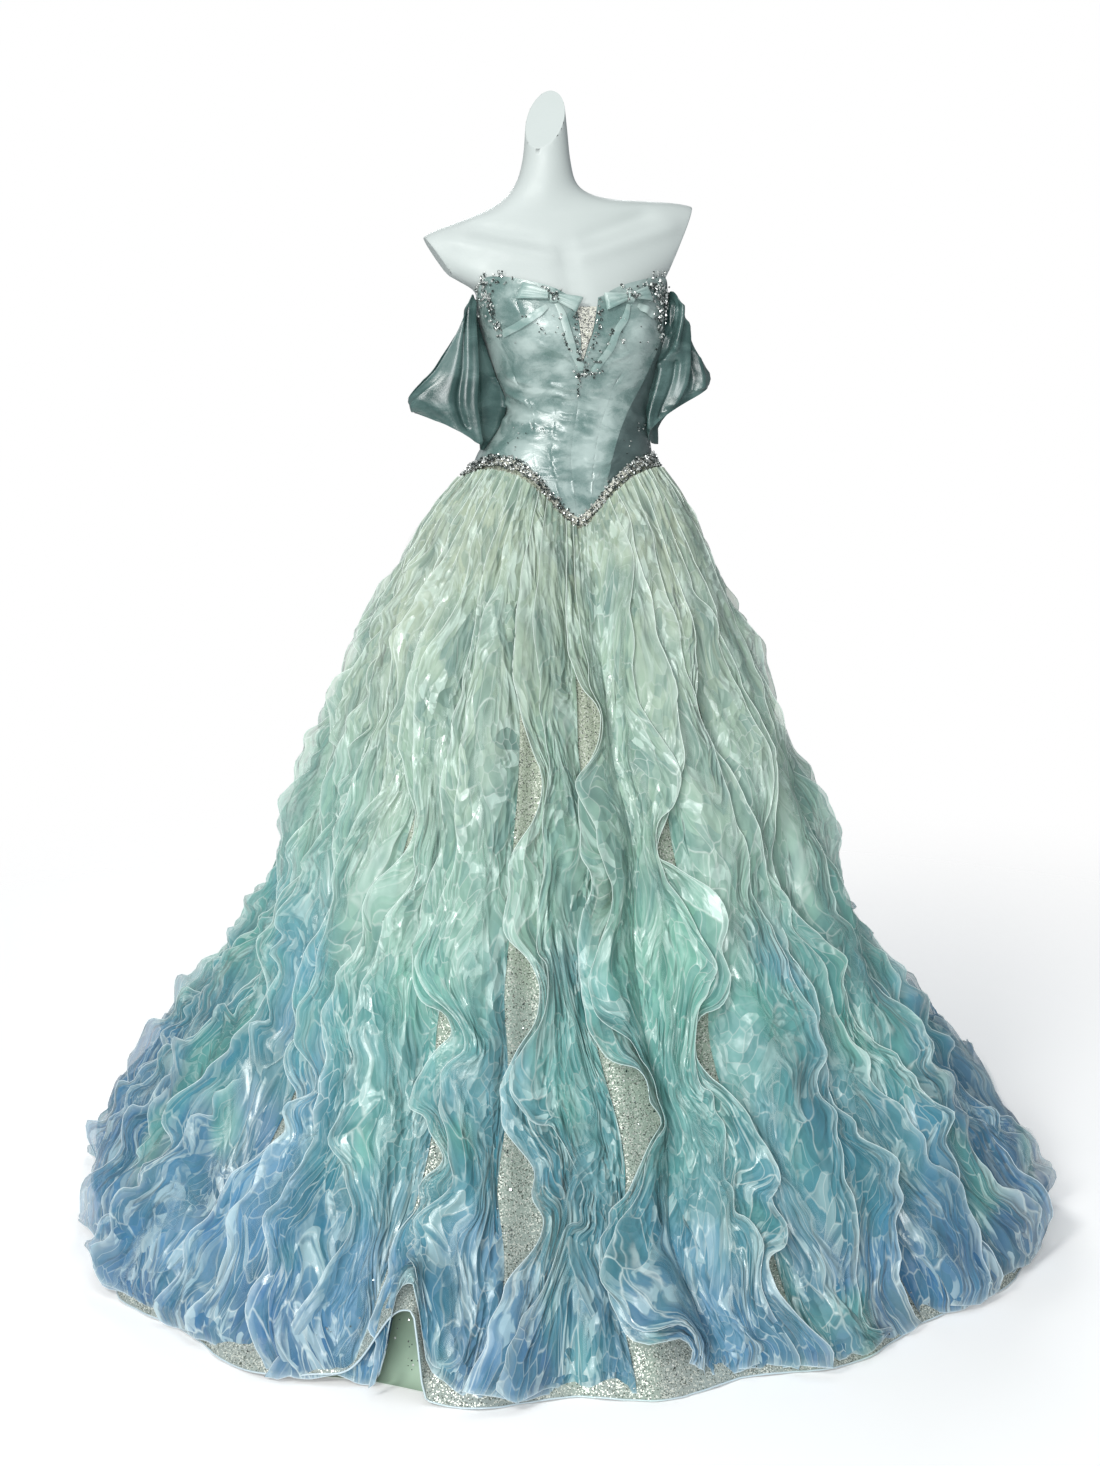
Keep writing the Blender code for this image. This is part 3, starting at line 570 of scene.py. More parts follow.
def placed_creases(table, u, v):
    """Height of creases given in a table; each row is start, end, half width and height."""
    total = np.zeros(np.broadcast(u, v).shape)
    for u0, v0, u1, v1, half, height in table:
        way = np.array([u1 - u0, v1 - v0])
        length = max(np.hypot(*way), 1e-6)
        way = way / length
        along = (u - u0) * way[0] + (v - v0) * way[1]
        aside = (u - u0) * way[1] - (v - v0) * way[0]
        past = np.maximum(np.abs(along - length / 2.0) - length / 2.0, 0.0)
        total = total + height * np.exp(-(aside / half) ** 2 - (past / (1.6 * half)) ** 2)
    return total


# %% [markdown]
# ## Finishes
#
# The gown has six cloths. Effects that several of them share are node groups: the dip dye, the
# crushed surface, the weave and the glitter. A group is built once and placed in each material
# with its own values. The groups give only values that change over the surface, and each shader
# stays in its material.

# %% Node helpers
def add_group(name, ins, outs):
    tree = bpy.data.node_groups.new(name, "ShaderNodeTree")
    for title, kind, value in ins:
        socket = tree.interface.new_socket(title, in_out="INPUT", socket_type=kind)
        socket.default_value = value
    for title, kind in outs:
        tree.interface.new_socket(title, in_out="OUTPUT", socket_type=kind)
    return tree, tree.nodes.new("NodeGroupInput"), tree.nodes.new("NodeGroupOutput")


def math_node(operation, a, b=None, clamp=False):
    return make(a.id_data, "Math", {0: a, 1: b}, operation=operation, use_clamp=clamp).outputs[0]


def times(a, b, clamp=False):
    return math_node("MULTIPLY", a, b, clamp)


def plus(a, b, clamp=False):
    return math_node("ADD", a, b, clamp)


def minus(a, b):
    return math_node("SUBTRACT", a, b)


def larger(a, b):
    return math_node("MAXIMUM", a, b)


def mix_colour(share, a, b):
    tree = next(value.id_data for value in (share, a, b) if hasattr(value, "id_data"))
    # on a colour mix, sockets 6 and 7 are the two colours
    return make(tree, "Mix", {0: share, 6: a, 7: b}, data_type="RGBA").outputs[2]


def noise(vector, scale, detail=3.0, rough=0.5, warp=0.0, flat=False):
    values = {"Vector": vector, "Scale": scale, "Detail": detail, "Roughness": rough, "Distortion": warp}
    flatness = "2D" if flat else "3D"
    return make(vector.id_data, "TexNoise", values, noise_dimensions=flatness).outputs["Fac"]


def stretched(vector, factors):
    return make(vector.id_data, "Mapping", {"Vector": vector, "Scale": factors}).outputs["Vector"]


def parts_of(colour):
    """The three numbers of a colour."""
    return make(colour.id_data, "SeparateColor", {0: colour}).outputs


def finish_group(tree, sink, results):
    """Link what a group works out to its outputs."""
    for title, value in results.items():
        tree.links.new(value, sink.inputs[title])
    print("group", tree.name, "has", len(tree.nodes), "nodes")
    return tree


# %% [markdown]
# ### Dip dye
#
# The finished skirt was dipped in dye, so the colour depends on the height above the floor and not
# on the strip. A colour ramp over the height does that. A slow noise lets the line wander, the blue
# climbs higher at the sides and the back, and a few green and blue runs stay in the cloth.

# %% Dip dye
# height in metres, colour
DYE = (
    (0.0, (0.034, 0.155, 0.325)),
    (0.09, (0.038, 0.185, 0.335)),
    (0.2, (0.052, 0.255, 0.33)),
    (0.36, (0.125, 0.4, 0.38)),
    (0.55, (0.29, 0.52, 0.42)),
    (0.78, (0.4, 0.55, 0.43)),
    (1.0, (0.46, 0.56, 0.42)),
)
DYE_TOP = 1.1
# the blue climbs this much higher at the sides and the back
DYE_CLIMB = 0.11
DYE_GREEN = (0.12, 0.48, 0.35, 1.0)
DYE_BLUE = (0.085, 0.3, 0.52, 1.0)
RUN_STRENGTH = 0.55


def dye_ramp(height):
    share = math_node("DIVIDE", height, DYE_TOP, clamp=True)
    ramp = make(height.id_data, "ValToRGB", {0: share})
    ramp.color_ramp.interpolation = "EASE"
    marks = ramp.color_ramp.elements
    while len(marks) < len(DYE):
        marks.new(0.5)
    for mark, (level, colour) in zip(marks, DYE):
        mark.position = level / DYE_TOP
        mark.color = (*colour, 1.0)
    return ramp.outputs["Color"]


def build_dye():
    tree, source, sink = add_group(
        "Dip dye", [("Drift", "NodeSocketFloat", 0.1)], [("Color", "NodeSocketColor")]
    )
    place = own_place(tree)
    x, y, z = make(tree, "SeparateXYZ", {0: place}).outputs
    cloud = noise(stretched(place, (1.0, 1.0, 0.45)), 6.5, 2.0)
    drift = times(minus(cloud, 0.5), source.outputs["Drift"])
    aside = map_range(math_node("ABSOLUTE", x), 0.22, 0.62, 0.0, DYE_CLIMB)
    behind = map_range(y, -0.25, 0.55, 0.0, DYE_CLIMB)
    height = minus(plus(z, times(drift, 4.0)), larger(aside, behind))
    runs = noise(stretched(place, (1.0, 1.0, 0.22)), 8.0, 2.0)
    low = map_range(z, 0.5, 0.8, 1.0, 0.15)
    lower = map_range(height, 0.3, 0.56, 1.0, 0.0)
    green = times(map_range(runs, 0.52, 0.68, 0.0, RUN_STRENGTH), low)
    blue = times(map_range(runs, 0.48, 0.34, 0.0, RUN_STRENGTH), lower)
    with_green = mix_colour(green, dye_ramp(height), DYE_GREEN)
    return finish_group(tree, sink, {"Color": mix_colour(blue, with_green, DYE_BLUE)})


dip_dye = build_dye()


# %% [markdown]
# ### Crushed surface
#
# Organza is stiff and thin, so it creases into small flat facets with sharp lines between them.
# Modelling each facet would take millions of triangles. Two sizes of Voronoi cells, drawn out along
# the strip and pushed aside by noise, give the facets; their rims and the ridges of a noise give the
# lines. The large folds stay in the mesh, and this group only adds what is smaller than them. It
# also gives the masks for painted highlights on the glossy facets and the lines, and for painted
# shade on the lowest facets.

# %% Crushed surface
FINE_CELLS = 2.6
# how the cloth is drawn out along the strip, and how far noise pushes the cells aside
CRUSH_STRETCH = (1.0, 0.34, 1.0)
CRUSH_WARPS = ((12.0, 0.062), (60.0, 0.007))


def warped(vector, scale, amount):
    """The same place, pushed aside by a noise."""
    values = {"Vector": vector, "Scale": scale, "Detail": 1.5}
    drift = make(vector.id_data, "TexNoise", values, noise_dimensions="2D").outputs["Color"]
    terms = {0: drift, 1: (amount, amount, 0.0), 2: vector}
    return make(vector.id_data, "VectorMath", terms, operation="MULTIPLY_ADD").outputs[0]


def crush_cells(vector, scale):
    """Flat cells of crushed cloth: a value for each cell, its swell, and how near its rim is."""
    values = {"Vector": vector, "Scale": scale}
    cells, rims = (
        make(vector.id_data, "TexVoronoi", values, voronoi_dimensions="2D", feature=feature)
        for feature in ("F1", "DISTANCE_TO_EDGE")
    )
    value = parts_of(cells.outputs["Color"])[0]
    return value, cells.outputs["Distance"], rims.outputs["Distance"]


def build_crushed():
    tree, source, sink = add_group(
        "Crushed",
        [("Place", "NodeSocketVector", (0.0, 0.0, 0.0)), ("Scale", "NodeSocketFloat", 40.0)],
        [(title, "NodeSocketFloat") for title in ("Height", "Lines", "Gloss and painted highlight", "Painted shade")],
    )
    scale = source.outputs["Scale"]
    tall = stretched(source.outputs["Place"], CRUSH_STRETCH)
    vector = tall
    for noise_scale, amount in CRUSH_WARPS:
        vector = warped(vector, noise_scale, amount)
    value, swell, rim = crush_cells(vector, scale)
    fine_value, fine_swell, fine_rim = crush_cells(vector, times(scale, FINE_CELLS))
    mask = noise(vector, times(scale, 0.3), 2.0, flat=True)
    calm = map_range(noise(tall, 8.0, 1.0, flat=True), 0.32, 0.48, 0.68, 1.0)
    long_way = stretched(vector, (1.0, 0.28, 1.0))
    ridge = minus(noise(long_way, times(scale, 1.1), 1.0, flat=True), 0.5)
    ridge = math_node("ABSOLUTE", ridge)
    # the lines: a mask for opacity and for the painted highlight along the creases
    lines = None
    # distance from a line, half width and strength of it, and the mask that lets it show
    for distance, half, strength, low, high, least in (
        (rim, 0.045, 1.0, 0.47, 0.62, 0.05),
        (fine_rim, 0.075, 0.9, 0.52, 0.36, 0.05),
        (ridge, 0.016, 0.85, 0.4, 0.55, 0.1),
    ):
        sharp = map_range(distance, 0.0, half, strength, 0.0)
        line = times(sharp, map_range(mask, low, high, least, 1.0))
        lines = line if lines is None else larger(lines, line)
    level = plus(times(value, 0.52), times(fine_value, 0.48))
    swirl = noise(vector, times(scale, 1.6), 2.0, 0.62, 0.6, flat=True)
    swirl = map_range(swirl, 0.42, 0.54, 0.15, 1.0)
    # the glossy facets: a mask for gloss and for the painted highlight on them
    gloss = times(map_range(level, 0.5, 0.56, 0.0, 1.0), swirl)
    height = plus(swell, times(fine_swell, 0.45))
    height = plus(height, times(level, 0.25))
    return finish_group(tree, sink, {
        "Height": times(height, calm),
        "Lines": times(lines, calm),
        "Gloss and painted highlight": times(gloss, calm),
        # painted shade: a mask for the lowest facets
        "Painted shade": times(map_range(level, 0.38, 0.3, 0.0, 1.0), calm),
    })


crushed = build_crushed()


# %% [markdown]
# ### Weave and glitter
#
# Two sets of fine bands that cross make a plain weave. Glitter is glued to tulle in patches, so the
# grains are the cells of a Voronoi texture and a noise decides how many of them are lit or dark.

# %% Weave and glitter
# a wave texture has one band in every pi units at scale 1
BAND_LENGTH = 3.1416
DARK_SHARE = 0.55


def build_weave():
    tree, source, sink = add_group(
        "Weave", [("Threads per metre", "NodeSocketFloat", 900.0)], [("Height", "NodeSocketFloat")]
    )
    place = own_place(tree)
    threads = []
    for direction in ("X", "Z"):
        scale = math_node("DIVIDE", source.outputs["Threads per metre"], BAND_LENGTH)
        bands = make(tree, "TexWave", {"Vector": place, "Scale": scale}, bands_direction=direction)
        threads.append(bands.outputs["Fac"])
    return finish_group(tree, sink, {"Height": times(plus(*threads), 0.5)})


def build_glitter():
    tree, source, sink = add_group(
        "Glitter",
        [("Grains per metre", "NodeSocketFloat", 650.0), ("Share", "NodeSocketFloat", 0.3)],
        [(title, "NodeSocketFloat") for title in ("Bright", "Dark", "Height")],
    )
    place = own_place(tree)
    values = {"Vector": place, "Scale": source.outputs["Grains per metre"]}
    grains = make(tree, "TexVoronoi", values)
    first, second, third = parts_of(grains.outputs["Color"])
    patches = noise(place, 45.0, 3.0, 0.6)
    level = times(source.outputs["Share"], times(patches, 2.0))
    return finish_group(tree, sink, {
        "Bright": math_node("LESS_THAN", first, level),
        "Dark": math_node("LESS_THAN", second, times(level, DARK_SHARE)),
        "Height": third,
    })


weave = build_weave()
glitter = build_glitter()


# %% Material helpers
def use_group(tree, group, **values):
    node = make(tree, "Group", node_tree=group)
    for title, value in values.items():
        node.inputs[title.replace("_", " ")].default_value = value
    return node


def new_finish(name, **values):
    finish = bpy.data.materials.new(name)
    finish.use_nodes = True
    shader = finish.node_tree.nodes["Principled BSDF"]
    for title, value in values.items():
        shader.inputs[title.replace("_", " ")].default_value = value
    return finish, finish.node_tree, shader


def paint(shader, **values):
    """Link what changes over the surface to the shader's own sockets."""
    for title, value in values.items():
        shader.id_data.links.new(value, shader.inputs[title.replace("_", " ")])


def bump(shader, height, distance, strength=1.0, under=None):
    values = {"Strength": strength, "Distance": distance, "Height": height, "Normal": under}
    normal = make(shader.id_data, "Bump", values).outputs["Normal"]
    paint(shader, Normal=normal)
    return normal


def weave_bump(shader, per_metre, depth, strength, under=None):
    threads = use_group(shader.id_data, weave, Threads_per_metre=per_metre)
    bump(shader, threads.outputs[0], depth, strength, under)


def cloth_numbers(tree):
    """Place on the flat cloth, tint and edge, as kept on the points of the cloth."""
    read = make(tree, "Attribute", attribute_name="cloth")
    across, along, tint = parts_of(read.outputs["Color"])
    flat = make(tree, "CombineXYZ", {0: across, 1: along}).outputs[0]
    return flat, tint, read.outputs["Alpha"]


# %% [markdown]
# ### Organza
#
# Organza is half see-through, so the colour deepens where two sheets lie over each other. A real
# transmission shader would be slow on eighty sheets. Alpha does the same work: plain cloth lets a
# good part of what is under it through, while creases, glossy facets and hems are nearly opaque.
# The glossy facets and the crease lines are also painted paler as painted highlights, the lowest
# facets are painted darker as painted shade, and slow patches of a noise are darker.

# %% Organza
# pale colour of the painted highlights on glossy facets; the tint of each sheet also mixes in a little
# of it as a tone of its own
PAINTED_HIGHLIGHT_AND_PALE_TINT = (0.7, 0.87, 0.82, 1.0)
# paler colour of the painted highlights on crease lines, which is also the own pale colour of the rolled
# edge
LINE_HIGHLIGHT_AND_HEM_PALE = (0.86, 0.97, 0.92, 1.0)
PALE_THREAD = (0.86, 0.96, 0.93, 1.0)
# darker colour of slow patches and of the painted shade on the lowest facets
DARK_PATCH_AND_PAINTED_SHADE = (0.05, 0.2, 0.23, 1.0)
# how much of the painted highlight colour comes into the dye at glossy facets and at crease lines
GLOSS_HIGHLIGHT_SHARE = 0.7
LINE_HIGHLIGHT_SHARE = 0.8
CREASE_OPACITY = 0.85


def organza_finish():
    finish, tree, shader = new_finish(
        "organza_dip_dyed", IOR=1.45, Specular_IOR_Level=0.6, Sheen_Weight=0.04,
        Sheen_Roughness=0.35, Coat_Roughness=0.12,
    )
    flat, tint, edge = cloth_numbers(tree)
    creased = use_group(tree, crushed, Scale=50.0)
    tree.links.new(flat, creased.inputs["Place"])
    height, lines, gloss, deep = creased.outputs
    dye = use_group(tree, dip_dye, Drift=0.1)
    cloud = noise(stretched(own_place(tree), (1.0, 1.0, 0.35)), 22.0, 2.0, 0.6)
    own = mix_colour(times(tint, 0.14), dye.outputs[0], PAINTED_HIGHLIGHT_AND_PALE_TINT)
    # darker in slow patches of a noise
    colour = mix_colour(map_range(cloud, 0.25, 0.58, 0.34, 0.0), own, DARK_PATCH_AND_PAINTED_SHADE)
    # painted shade: the lowest facets of the crushed cloth are painted darker
    colour = mix_colour(times(deep, 0.3), colour, DARK_PATCH_AND_PAINTED_SHADE)
    # painted highlights: the glossy facets and the crease lines are mixed towards paler colours
    gloss_highlight = mix_colour(GLOSS_HIGHLIGHT_SHARE, own, PAINTED_HIGHLIGHT_AND_PALE_TINT)
    line_highlight = mix_colour(LINE_HIGHLIGHT_SHARE, own, LINE_HIGHLIGHT_AND_HEM_PALE)
    colour = mix_colour(times(gloss, 0.55), colour, gloss_highlight)
    colour = mix_colour(times(lines, 0.6), colour, line_highlight)
    # the rolled edge is pale in its own colour
    colour = mix_colour(times(edge, 0.28, True), colour, LINE_HIGHLIGHT_AND_HEM_PALE)
    seen = map_range(cloud, 0.25, 0.8, 0.6, 0.78)
    for part, opacity in ((lines, CREASE_OPACITY), (gloss, CREASE_OPACITY), (edge, 0.9)):
        seen = larger(seen, times(part, opacity))
    # an edge number below nought fades the cloth out
    faded = plus(edge, 1.0, True)
    paint(
        shader, Base_Color=colour, Alpha=times(seen, faded),
        Roughness=map_range(gloss, 0.0, 1.0, 0.44, 0.24),
        Coat_Weight=map_range(gloss, 0.0, 1.0, 0.03, 0.45),
    )
    facets = bump(shader, height, 0.0065, 1.0)
    weave_bump(shader, 1100.0, 0.00012, 0.3, facets)
    return finish


def edge_finish():
    """The rolled edge is the same cloth, packed tight, so it is pale and opaque."""
    finish, tree, shader = new_finish("organza_rolled_edge", Roughness=0.3, Coat_Weight=0.3)
    dye = use_group(tree, dip_dye, Drift=0.1)
    paint(shader, Base_Color=mix_colour(0.62, dye.outputs[0], PALE_THREAD))
    weave_bump(shader, 1400.0, 0.0002, 0.4)
    return finish


organza = organza_finish()
rolled_edge = edge_finish()


# %% [markdown]
# ### Tulle, mesh and lining
#
# The gores are tulle with glitter glued on, and the plunge is filled with skin-coloured mesh that
# glitters too. Both take the same grains over a colour of their own. The lining is plain taffeta.

# %% Tulle, mesh and lining
GRAINS_PER_METRE = 700.0


def add_glitter(shader, share, base, bright, dark, metal, dull, shiny, depth):
    """Glitter grains on a cloth: share of lit grains, colours, metal, roughness and height."""
    grains = use_group(shader.id_data, glitter, Grains_per_metre=GRAINS_PER_METRE, Share=share)
    shown = grains.outputs["Bright"]
    lit = mix_colour(shown, base, bright)
    paint(
        shader, Base_Color=mix_colour(grains.outputs["Dark"], lit, dark),
        Metallic=times(shown, metal), Roughness=map_range(shown, 0.0, 1.0, dull, shiny),
    )
    bump(shader, grains.outputs["Height"], depth, 0.8)


def tulle_finish():
    finish, tree, shader = new_finish("glitter_tulle", Specular_IOR_Level=0.3)
    dye = use_group(tree, dip_dye, Drift=0.05)
    warm = mix_colour(0.74, dye.outputs[0], (0.4, 0.42, 0.33, 1.0))
    bright, dark = (0.72, 0.75, 0.68, 1.0), (0.1, 0.12, 0.1, 1.0)
    add_glitter(shader, 0.22, warm, bright, dark, 0.45, 0.8, 0.45, 0.0006)
    return finish


def mesh_finish():
    finish, tree, shader = new_finish("nude_glitter_mesh", Sheen_Weight=0.2)
    cloud = noise(own_place(tree), 90.0, 3.0)
    skin = mix_colour(cloud, (0.58, 0.59, 0.5, 1.0), (0.74, 0.75, 0.66, 1.0))
    bright, dark = (0.8, 0.79, 0.74, 1.0), (0.09, 0.1, 0.09, 1.0)
    add_glitter(shader, 0.34, skin, bright, dark, 0.8, 0.65, 0.25, 0.0005)
    return finish


def lining_finish():
    finish, tree, shader = new_finish("lining_taffeta", Specular_IOR_Level=0.5, Sheen_Weight=0.2)
    cloud = noise(own_place(tree), 7.0, 3.0)
    paint(
        shader,
        Base_Color=mix_colour(cloud, (0.27, 0.41, 0.3, 1.0), (0.4, 0.53, 0.41, 1.0)),
        Roughness=map_range(cloud, 0.2, 0.8, 0.45, 0.6),
    )
    weave_bump(shader, 1000.0, 0.00015, 0.4)
    return finish


tulle = tulle_finish()
nude_mesh = mesh_finish()
lining = lining_finish()


# %% [markdown]
# ### Satin
#
# Satin shows the lamps as long soft streaks, because its threads float over many others. The
# Principled shader gets some anisotropy and a thin coat for that. The streaks that folds and
# puckers make are painted highlights: a number on the points of the cloth, with slow patches of a
# noise, mixes the deep colour towards a paler painted highlight colour.

# %% Satin
SATIN_FROST = (0.6, 0.7, 0.68, 1.0)
# deep colour, painted highlight colour, roughness, height of the crinkles, frost of the threads
SATINS = {
    "satin_mint": ((0.1, 0.19, 0.176, 1.0), (0.42, 0.53, 0.505, 1.0), 0.26, 0.0034, 0.14),
    # a darker copy of the satin, as painted shade on the right side panel
    "satin_side_panel": ((0.05, 0.085, 0.083, 1.0), (0.11, 0.165, 0.16, 1.0), 0.42, 0.0015, 0.03),
    # a darker copy of the satin, as painted shade for the sleeves, which hang in their own shade
    "satin_sleeve": ((0.03, 0.075, 0.07, 1.0), (0.095, 0.175, 0.165, 1.0), 0.24, 0.0008, 0.03),
    "satin_ribbon": ((0.2, 0.33, 0.305, 1.0), (0.5, 0.61, 0.575, 1.0), 0.36, 0.0004, 0.14),
}


def satin_finish(name, deep, light, rough, crinkle, frost):
    finish, tree, shader = new_finish(
        name, Anisotropic=0.35, Sheen_Weight=0.6 * frost, Sheen_Roughness=0.4,
        Specular_IOR_Level=0.45 + 2.5 * frost, Coat_Roughness=0.2,
    )
    place = own_place(tree)
    cloud = noise(stretched(place, (1.0, 1.0, 1.6)), 17.0, 4.0, 0.55, 0.4)
    grain = noise(place, 900.0, 2.0)
    # painted highlights: the numbers kept on the points and slow patches of a noise mix the deep colour
    # towards the paler one
    _, lit, _ = cloth_numbers(tree)
    share = plus(map_range(cloud, 0.38, 0.64, 0.0, 0.75), lit, True)
    base = mix_colour(share, deep, light)
    paint(
        shader,
        Base_Color=mix_colour(map_range(grain, 0.3, 0.7, 0.0, frost), base, SATIN_FROST),
        Roughness=map_range(cloud, 0.25, 0.75, rough - 0.06, rough + 0.08),
        Coat_Weight=map_range(cloud, 0.3, 0.7, 0.1, 0.35),
    )
    wrinkles = noise(stretched(place, (1.0, 1.0, 2.2)), 26.0, 3.0, 0.5, 0.8)
    soft = bump(shader, wrinkles, crinkle, 0.6)
    weave_bump(shader, 1600.0, 0.0001, 0.3, soft)
    return finish


satin, satin_in_painted_shade, satin_sleeve, satin_ribbon = (
    satin_finish(name, *values) for name, values in SATINS.items()
)


# %% [markdown]
# ### Shell, steel and crystal
#
# The form is painted fibreglass with a little haze, the pole is brushed along its turn, and every
# bead takes its own tone from the cell of a Voronoi texture, so a cluster sparkles unevenly.

# %% Shell, steel and crystal
def form_finish():
    finish, tree, shader = new_finish("form_shell", Coat_Roughness=0.35, Coat_Weight=0.08)
    place = own_place(tree)
    haze = noise(place, 5.0, 3.0)
    paint(
        shader,
        Base_Color=mix_colour(haze, (0.5, 0.56, 0.54, 1.0), (0.57, 0.62, 0.61, 1.0)),
        Roughness=map_range(noise(place, 60.0, 4.0), 0.2, 0.8, 0.42, 0.58),
    )
    bump(shader, noise(place, 420.0, 2.0), 0.0003, 0.35)
    return finish


def steel_finish():
    finish, tree, shader = new_finish("brushed_steel", Metallic=1.0)
    lines = noise(stretched(own_place(tree), (1.0, 1.0, 40.0)), 60.0, 4.0)
    paint(
        shader,
        Base_Color=mix_colour(lines, (0.42, 0.43, 0.44, 1.0), (0.6, 0.61, 0.62, 1.0)),
        Roughness=map_range(lines, 0.2, 0.8, 0.22, 0.42),
    )
    bump(shader, lines, 0.0002, 0.3)
    return finish


def bead_finish():
    finish, tree, shader = new_finish("cut_crystal", Coat_Weight=0.6, Coat_Roughness=0.05)
    each = make(tree, "TexVoronoi", {"Vector": own_place(tree), "Scale": 240.0})
    first, second, third = parts_of(each.outputs["Color"])
    pale = map_range(first, 0.35, 0.7, 0.0, 1.0)
    paint(
        shader,
        Base_Color=mix_colour(pale, (0.07, 0.09, 0.085, 1.0), (0.84, 0.87, 0.84, 1.0)),
        Metallic=map_range(second, 0.0, 1.0, 0.5, 1.0),
        Roughness=map_range(third, 0.0, 1.0, 0.08, 0.28),
    )
    return finish


form_shell = form_finish()
steel = steel_finish()
crystal = bead_finish()
print("finishes", len(bpy.data.materials))


# %% [markdown]
# ## Dress form
#
# The form is a hard, smooth shell with its arms and head cut off flat. It could be sculpted, but a
# loft through rings keeps it on the solid, with finer steps and shallow collarbones. Three planes
# then cut it, the cuts are capped, and their rims are rounded.

# %% Dress form sizes
FORM_CLEARANCE = 0.0042
FORM_BOTTOM = 0.94
FORM_RINGS = (
    FORM_BOTTOM, 0.985, 1.03, 1.07, 1.1, 1.12, 1.137, 1.152, 1.167, 1.183, 1.203, 1.23, 1.26, 1.29,
)
# height, centre_x, centre_y, half_width, front_depth, back_depth, tilt, square
FORM_TOP = (
    (1.318, 0.012, 0.0, 0.132, 0.107, 0.084, 0.5, 2.3),
    (1.338, 0.012, 0.0, 0.137, 0.093, 0.083, 1.6, 2.2),
    (1.36, 0.011, 0.002, 0.162, 0.08, 0.08, 3.6, 2.1),
    (1.385, 0.009, 0.004, 0.19, 0.066, 0.072, 5.6, 2.0),
    (1.408, 0.007, 0.006, 0.208, 0.054, 0.062, 6.3, 2.0),
    (1.426, 0.004, 0.008, 0.207, 0.046, 0.054, 6.3, 2.0),
    (1.439, 0.0, 0.009, 0.18, 0.041, 0.047, 6.3, 2.0),
    (1.448, -0.006, 0.01, 0.136, 0.038, 0.044, 6.0, 2.0),
    (1.457, -0.012, 0.011, 0.093, 0.037, 0.042, 5.0, 2.0),
    (1.469, -0.016, 0.011, 0.062, 0.036, 0.04, 3.0, 2.0),
    (1.488, -0.018, 0.01, 0.043, 0.035, 0.037, 0.0, 2.0),
    (1.52, -0.018, 0.008, 0.034, 0.033, 0.034, -1.0, 2.0),
    (1.56, -0.019, 0.005, 0.03, 0.03, 0.031, -2.0, 2.0),
    (1.6, -0.021, 0.002, 0.027, 0.027, 0.028, -3.0, 2.0),
    (1.65, -0.024, -0.001, 0.023, 0.024, 0.025, -3.0, 2.0),
)
# point on the cut, way it faces
FORM_CUTS = (
    ((-0.17, 0.0, 1.371), (-0.823, 0.0, -0.568)),
    ((0.172, 0.0, 1.404), (0.903, 0.0, -0.43)),
    ((-0.021, 0.002, 1.577), (-0.459, -0.72, 0.52)),
)
FORM_AROUND = 96
RIM_ROUND = 0.0016
# x and height of start and end, half width, height: collarbones, the hollows over them, the throat
COLLARBONES = (
    (-0.024, 1.381, -0.15, 1.402, 0.012, 0.006), (0.016, 1.383, 0.15, 1.424, 0.012, 0.006),
    (-0.045, 1.406, -0.12, 1.421, 0.012, -0.006), (0.034, 1.409, 0.112, 1.437, 0.012, -0.006),
    (-0.004, 1.398, -0.004, 1.38, 0.01, -0.005), (-0.004, 1.35, -0.002, 1.325, 0.016, -0.0045),
)


# %% Dress form
def form_rings():
    turns = np.linspace(0.0, 360.0, FORM_AROUND, endpoint=False)
    angle = np.radians(turns)
    rings = [body_point(turns, np.full_like(turns, h), -FORM_CLEARANCE) for h in FORM_RINGS]
    rings[0][:, 2] = FORM_BOTTOM
    for height, centre_x, centre_y, half, front, back, tilt, square in FORM_TOP:
        side = half * power(np.sin(angle), 2.0 / square)
        ahead = power(np.cos(angle), 2.0 / square)
        lean = math.radians(tilt)
        y = centre_y - np.where(ahead > 0.0, front, back) * ahead
        rings.append(stack(centre_x + side * math.cos(lean), y, height + side * math.sin(lean)))
    return np.array(rings)


def cut_flat(work, place, facing):
    """Cut a mesh with a plane, close the cut, and round its rim."""
    geometry = list(work.verts) + list(work.edges) + list(work.faces)
    cut = bmesh.ops.bisect_plane(
        work, geom=geometry, plane_co=place, plane_no=facing, clear_outer=True, clear_inner=False
    )
    rim = [e for e in cut["geom_cut"] if isinstance(e, bmesh.types.BMEdge)]
    for face in bmesh.ops.edgeloop_fill(work, edges=rim)["faces"]:
        face.smooth = False
    bmesh.ops.bevel(work, geom=rim, offset=RIM_ROUND, segments=2, profile=0.6, affect="EDGES")


